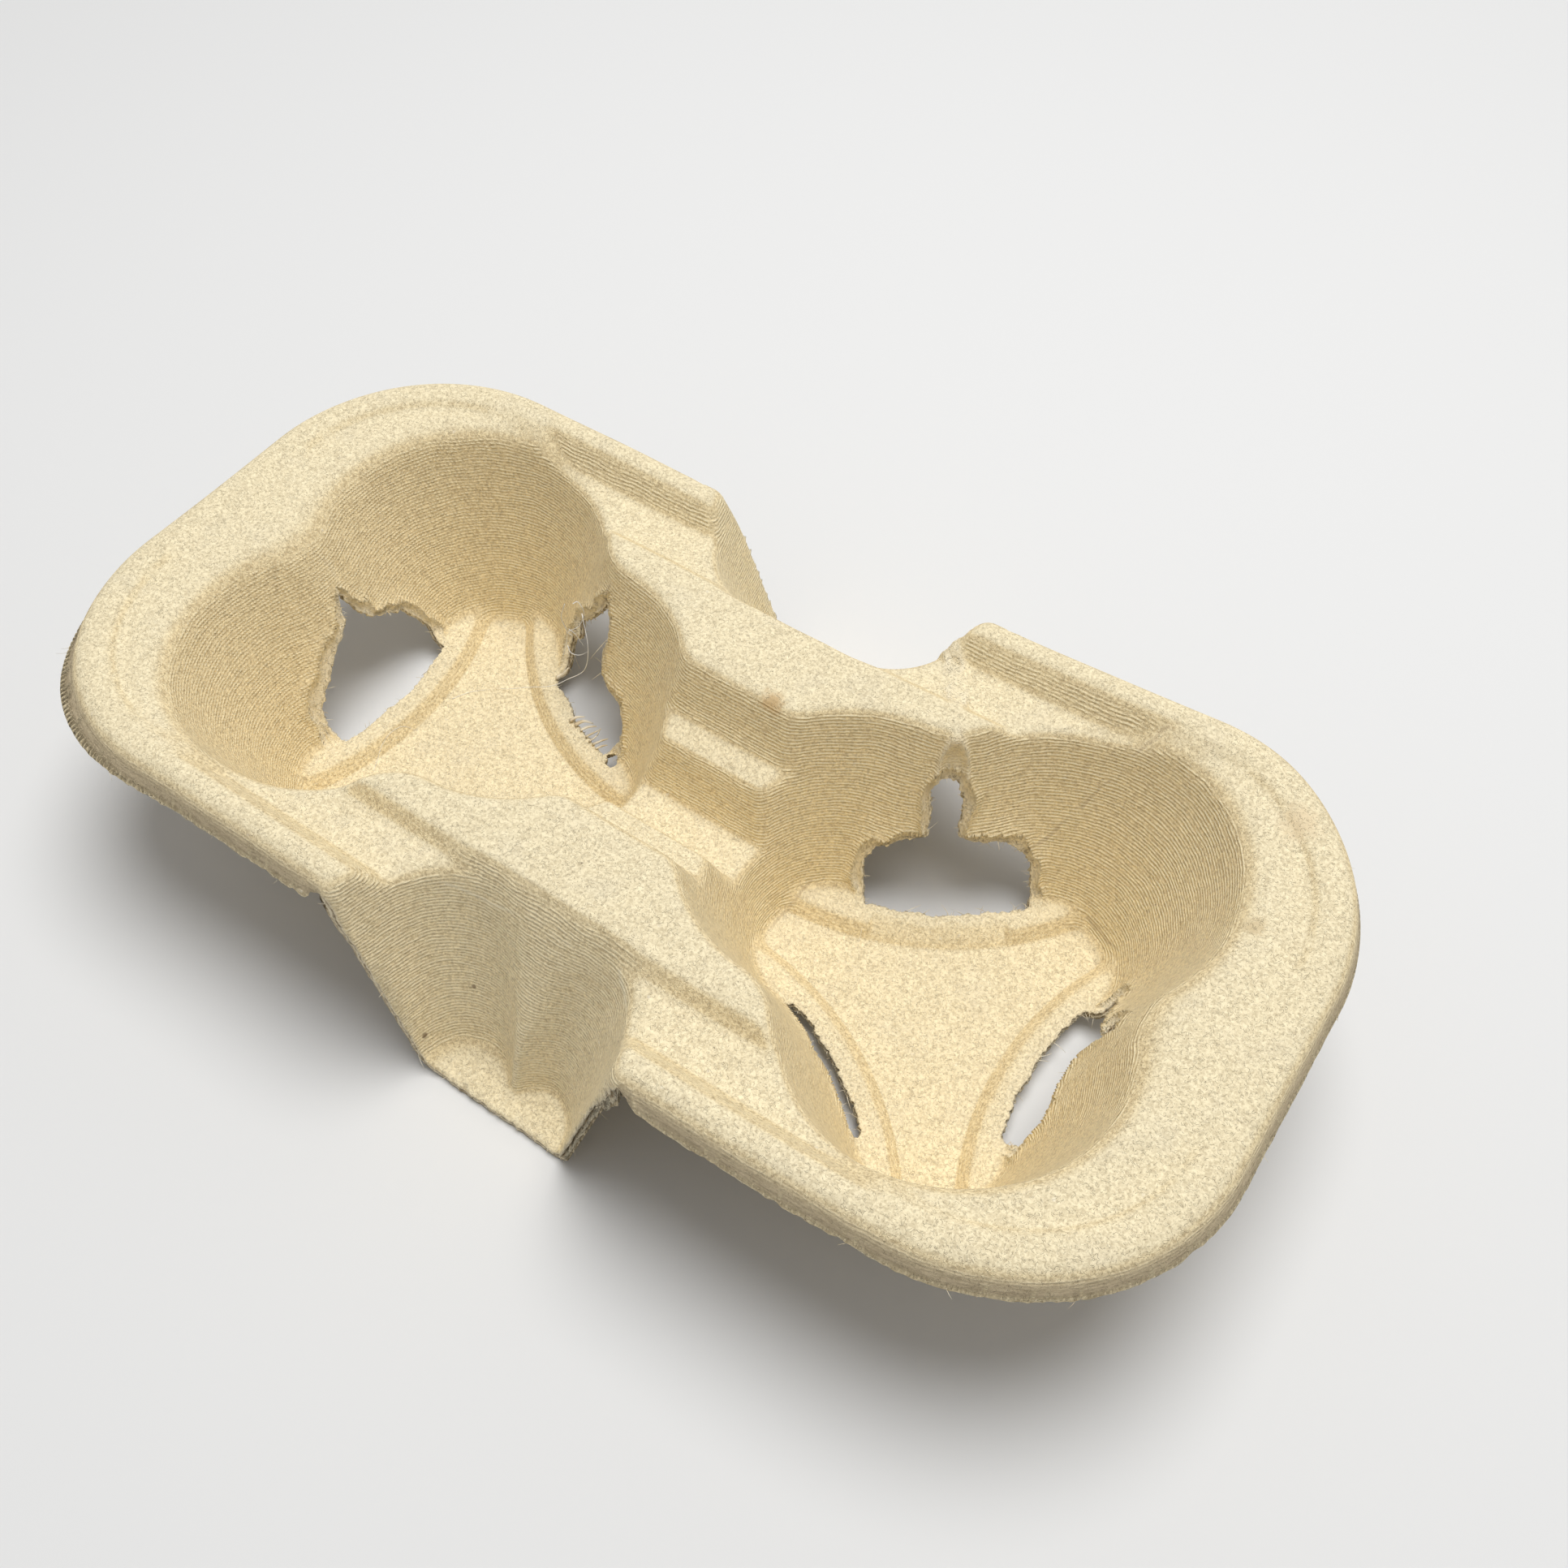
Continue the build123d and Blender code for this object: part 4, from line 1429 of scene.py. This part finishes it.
def bristles(loop, above, below, inward, chance, longest, seed):
    """Short bent fibres that stand out of an edge."""
    dice = np.random.default_rng(seed)
    along = np.roll(loop, -1, axis=0) - loop
    along /= np.linalg.norm(along, axis=1, keepdims=True) + 1e-9
    paths, radii = [], []
    clumps = ragged(len(loop), 0.5, 12, 2, seed + 7)
    for k in np.nonzero(dice.random(len(loop)) < chance * (1 + 0.8 * clumps))[0]:
        share = dice.random() * 0.8
        start = above[k] * (1 - share) + below[k] * share + inward[k] * 0.3
        head = along[k] * dice.normal() * 0.7 + np.array([0, 0, dice.normal() * 0.5]) - inward[k]
        head /= np.linalg.norm(head)
        turn = np.cross(head, dice.normal(size=3)) * dice.normal() * 0.7
        fibre_length = 0.3 + min(dice.exponential(0.45), longest)
        steps = np.linspace(0, 1, 5)[:, None]
        paths.append(start + (0.3 + fibre_length) * (steps * head + steps**2 * turn))
        radii.append(0.045 + 0.04 * dice.random())
    return paths, radii


print("fibre tools ready")

# %% Bristles along the edges
plain_bristle = (0.42, 1.5)  # chance at each edge point, and longest fibre
bristle_growth = {"outline": (0.30, 0.5), "left_far": (0.8, 2.2), "right_far": (0.6, 1.5)}
paths, radii = [], []
for seed, (line, (name, loop)) in enumerate(zip(lines, loops.items())):
    inward = edge_directions(loop)[1]
    above, below = upper_points[place[line]], under_points[under_place[line]]
    growth = bristle_growth.get(name, plain_bristle)
    more, thick = bristles(loop, above, below, inward, *growth, 3000 + seed)
    paths += more
    radii += thick
print(len(paths), "bristles")

# %% [markdown]
# ### Shreds and hairs
#
# One slot still holds shreds of pulp and a few long hairs, and two hairs lie on a pocket's floor.
# They are drawn through listed places, because chance would not put them where they are.

# %% Shreds, hairs and the mesh of all fibres
shreds = [
    (0.40, [(-38.6, 13.8, 4.7), (-37.6, 14.8, 5.6), (-36.4, 15.8, 5.6)]),
    (0.45, [(-37.2, 13.6, 4.7), (-35.9, 14.9, 5.5), (-34.3, 15.6, 5.2)]),
    (0.35, [(-35.6, 13.2, 4.7), (-34.2, 14.4, 5.6), (-32.9, 15.0, 6.0)]),
    (0.24, [(-33.8, 12.5, 4.7), (-32.6, 13.6, 5.7), (-31.4, 14.6, 6.8)]),
    (0.20, [(-32.6, 12.0, 4.7), (-31.5, 13.2, 6.0), (-31.2, 14.3, 7.4)]),
    (0.30, [(-31.6, 11.8, 4.7), (-30.2, 12.9, 5.8), (-29.0, 13.6, 6.6)]),
    (0.26, [(-30.6, 11.5, 4.6), (-29.4, 12.2, 5.6), (-28.4, 12.6, 6.2)]),
    (0.55, [(-47.4, 20.6, 4.8), (-46.0, 21.6, 6.2), (-44.8, 21.9, 8.4)]),
]  # radius and places
hairs = [
    [
        (-40.6, 23.8, 25), (-37.6, 20.9, 20), (-38.6, 19.9, 14), (-42.9, 19.1, 9),
        (-46.1, 17.8, 6.2), (-50.7, 15.4, 5.0), (-55.0, 14.4, 2.5), (-57.4, 13.4, 2.1),
    ],
    [(-41.3, 20.7, 30), (-42.3, 20.2, 26), (-42.4, 21.0, 21), (-43.3, 20.2, 16), (-44.2, 20.0, 13)],
    [
        (-40.8, 22.1, 29), (-40.2, 23.0, 29), (-39.6, 23.4, 26), (-40.4, 22.3, 23),
        (-42.5, 21.3, 21), (-41.8, 21.7, 20),
    ],
    [(-42.7, 21.9, 21), (-42.1, 22.8, 19), (-41.2, 23.3, 16)],
    [(-44.4, 22.3, 15), (-43.2, 21.8, 14), (-41.6, 22.3, 14), (-40.2, 23.2, 15)],
]
laid_hairs = [
    [(-63.7, -14.8), (-65.2, -11.4), (-65.7, -7.7), (-65.0, -4.5), (-63.2, -2.9)],
    [(-62.9, 6.6), (-61.0, 10.0), (-58.3, 12.6)],
]
hair_radius, laid_radius, laid_lift, table_gap = 0.10, 0.06, 0.08, 0.05


def smooth_path(points, count=36):
    """Smooth line through points."""
    points = np.array(points, float)
    steps = np.linspace(0, len(points) - 1, count)
    first = np.clip(np.floor(steps).astype(int), 0, len(points) - 2)
    share = (steps - first)[:, None]
    slope = np.gradient(points, axis=0)
    square, cube = share**2, share**3
    passed = 3 * square - 2 * cube
    line = (1 - passed) * points[first] + passed * points[first + 1]
    line += (cube - 2 * square + share) * slope[first] + (cube - square) * slope[first + 1]
    return line


for thickness, shred in shreds:
    paths.append(smooth_path(shred, 9))
    radii.append(thickness)
pulp_count = len(paths)
for hair in hairs:
    paths.append(smooth_path(hair))
    radii.append(hair_radius)
for hair in laid_hairs:
    flat = smooth_path([(x, y, 0) for x, y in hair])
    flat[:, 2] = height(flat[:, 0], flat[:, 1]) + laid_lift
    paths.append(flat)
    radii.append(laid_radius)
fibre_points, fibre_faces = tubes(paths, radii)
fibre_points[:, 2] = np.maximum(fibre_points[:, 2], table_gap)
fibre_mesh = bpy.data.meshes.new("loose_fibres")
fibre_mesh.from_pydata((warped(fibre_points) * metre).tolist(), [], fibre_faces)
fibre_mesh.validate()
fibre_mesh.shade_smooth()
hair_start = 3 * sum(len(path) for path in paths[:pulp_count])
store(fibre_mesh, "hair", np.arange(len(fibre_points)) >= hair_start)
fibre_piece = bpy.data.objects.new("loose_fibres", fibre_mesh)
bpy.context.scene.collection.objects.link(fibre_piece)
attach(fibre_piece, "root")
print(len(paths), "fibres,", sum(len(p.vertices) - 2 for p in fibre_mesh.polygons), "triangles")

# %% [markdown]
# ### Finish of the fibres
#
# Bristles and shreds are pulp, and the long hairs are a cooler white. Both are too thin to show a
# pattern, so one slow noise that varies their tint is enough.

# %% Material of the fibres
fibre_finish = bpy.data.materials.new("pulp_fibre")
fibre_finish.use_nodes = True
strand = Nodes(fibre_finish.node_tree)
shader = fibre_finish.node_tree.nodes["Principled BSDF"].inputs
tint = strand.band(strand.noise(strand.add("TexCoord")["Object"], 500.0, 1.0), 0.3, 0.7)
bristle_colour = strand.blend(tint, (0.72, 0.60, 0.40), (0.95, 0.88, 0.72))
hair_colour = strand.blend(tint, (0.86, 0.84, 0.79), (0.96, 0.95, 0.92))
strand.feed(shader["Base Color"], strand.blend(strand.painted("hair"), bristle_colour, hair_colour))
shader["Roughness"].default_value = 0.75
fibre_mesh.materials.append(fibre_finish)
print("fibre finish has", len(strand.tree.nodes), "nodes")

# %% [markdown]
# ## Floor, light and camera
#
# The carrier stands on a plain pale floor under one large soft lamp, with an even sky. More light
# would bleach the pulp, so the floor and the sky are made pale only where they are looked at:
# the extra brightness is added for camera, glossy and transmitted rays, and lights nothing.


# %% Floor
def seen_share(nodes):
    """1 where a surface is looked at, straight on or in a shiny or clear piece, else 0."""
    ray = nodes.add("LightPath")
    mirrored = nodes.largest(ray["Is Glossy Ray"], ray["Is Transmission Ray"])
    return nodes.largest(ray["Is Camera Ray"], mirrored)


floor_mesh = bpy.data.meshes.new("floor")
corners = [(-4.0, -4.0, 0), (4.0, -4.0, 0), (4.0, 4.0, 0), (-4.0, 4.0, 0)]
floor_mesh.from_pydata(corners, [], [(0, 1, 2, 3)])
floor = bpy.data.objects.new("floor", floor_mesh)
bpy.context.scene.collection.objects.link(floor)
floor_finish = bpy.data.materials.new("pale_floor")
floor_finish.use_nodes = True
ground = Nodes(floor_finish.node_tree)
shader = floor_finish.node_tree.nodes["Principled BSDF"].inputs
shader["Base Color"].default_value = (0.78, 0.78, 0.775, 1)
shader["Roughness"].default_value = 0.8
shader["Emission Color"].default_value = (1, 1, 0.99, 1)
far_off = ground.vector("LENGTH", ground.add("TexCoord")["Object"], (0, 0, 0), "Value")
glow = ground.times(ground.band(far_off, 0.3, 1.8, 0.0, 0.62), seen_share(ground))
ground.feed(shader["Emission Strength"], glow)
floor_mesh.materials.append(floor_finish)
print("floor", floor.dimensions[:2], "metres")

# %% [markdown]
# ### Light
#
# A disk lamp almost overhead, a little to the far side, makes the tops bright, the walls mid and
# the near notch darkest, with soft-edged shadows. The sky fills the shadows evenly.

# %% Light
world = bpy.data.worlds.new("sky")
bpy.context.scene.world = world
world.use_nodes = True
sky = Nodes(world.node_tree)
backdrop = world.node_tree.nodes["Background"].inputs
backdrop["Color"].default_value = (1, 1, 1, 1)
sky.feed(backdrop["Strength"], sky.scaled(seen_share(sky), 0.55, 0.30))
lamp_data = bpy.data.lights.new("soft_lamp", "AREA")
lamp_data.shape = "DISK"
lamp_data.size = 0.7
lamp_data.energy = 8.9
lamp = bpy.data.objects.new("soft_lamp", lamp_data)
lamp.location = (0.02, 0.21, 1.0)
lamp.rotation_euler = (-Vector(lamp.location)).to_track_quat("-Z", "Y").to_euler()
bpy.context.scene.collection.objects.link(lamp)
print("lamp", lamp_data.energy, "watts at", tuple(round(part, 2) for part in lamp.location))

# %% [markdown]
# ### Camera
#
# The camera looks down from the near right, close enough for the rim to swell towards the
# viewer. Its place and turn were solved from the carrier's straight sides and level rim. The
# Standard view shows each colour as it is written, so pale pulp stays pale.

# %% Camera
camera_data = bpy.data.cameras.new("camera")
camera_data.sensor_width = 36.0
camera_data.lens = 33.507
camera_data.clip_start = 0.01
camera = bpy.data.objects.new("camera", camera_data)
camera.location = eye
camera.rotation_euler = (radians(34.8027), radians(-0.27803), radians(33.97563))
bpy.context.scene.collection.objects.link(camera)
bpy.context.scene.camera = camera
bpy.context.scene.view_settings.view_transform = "Standard"
print("camera lens", camera_data.lens, "mm")

# %% [markdown]
# ## The scene brought up to date
#
# Torn edges and fuzz may stand out a little beyond the plain solid, but the carrier is not meant
# to grow as a whole. Last, the view layer is brought up to date.

# %% Bring the scene up to date
bpy.context.view_layer.update()
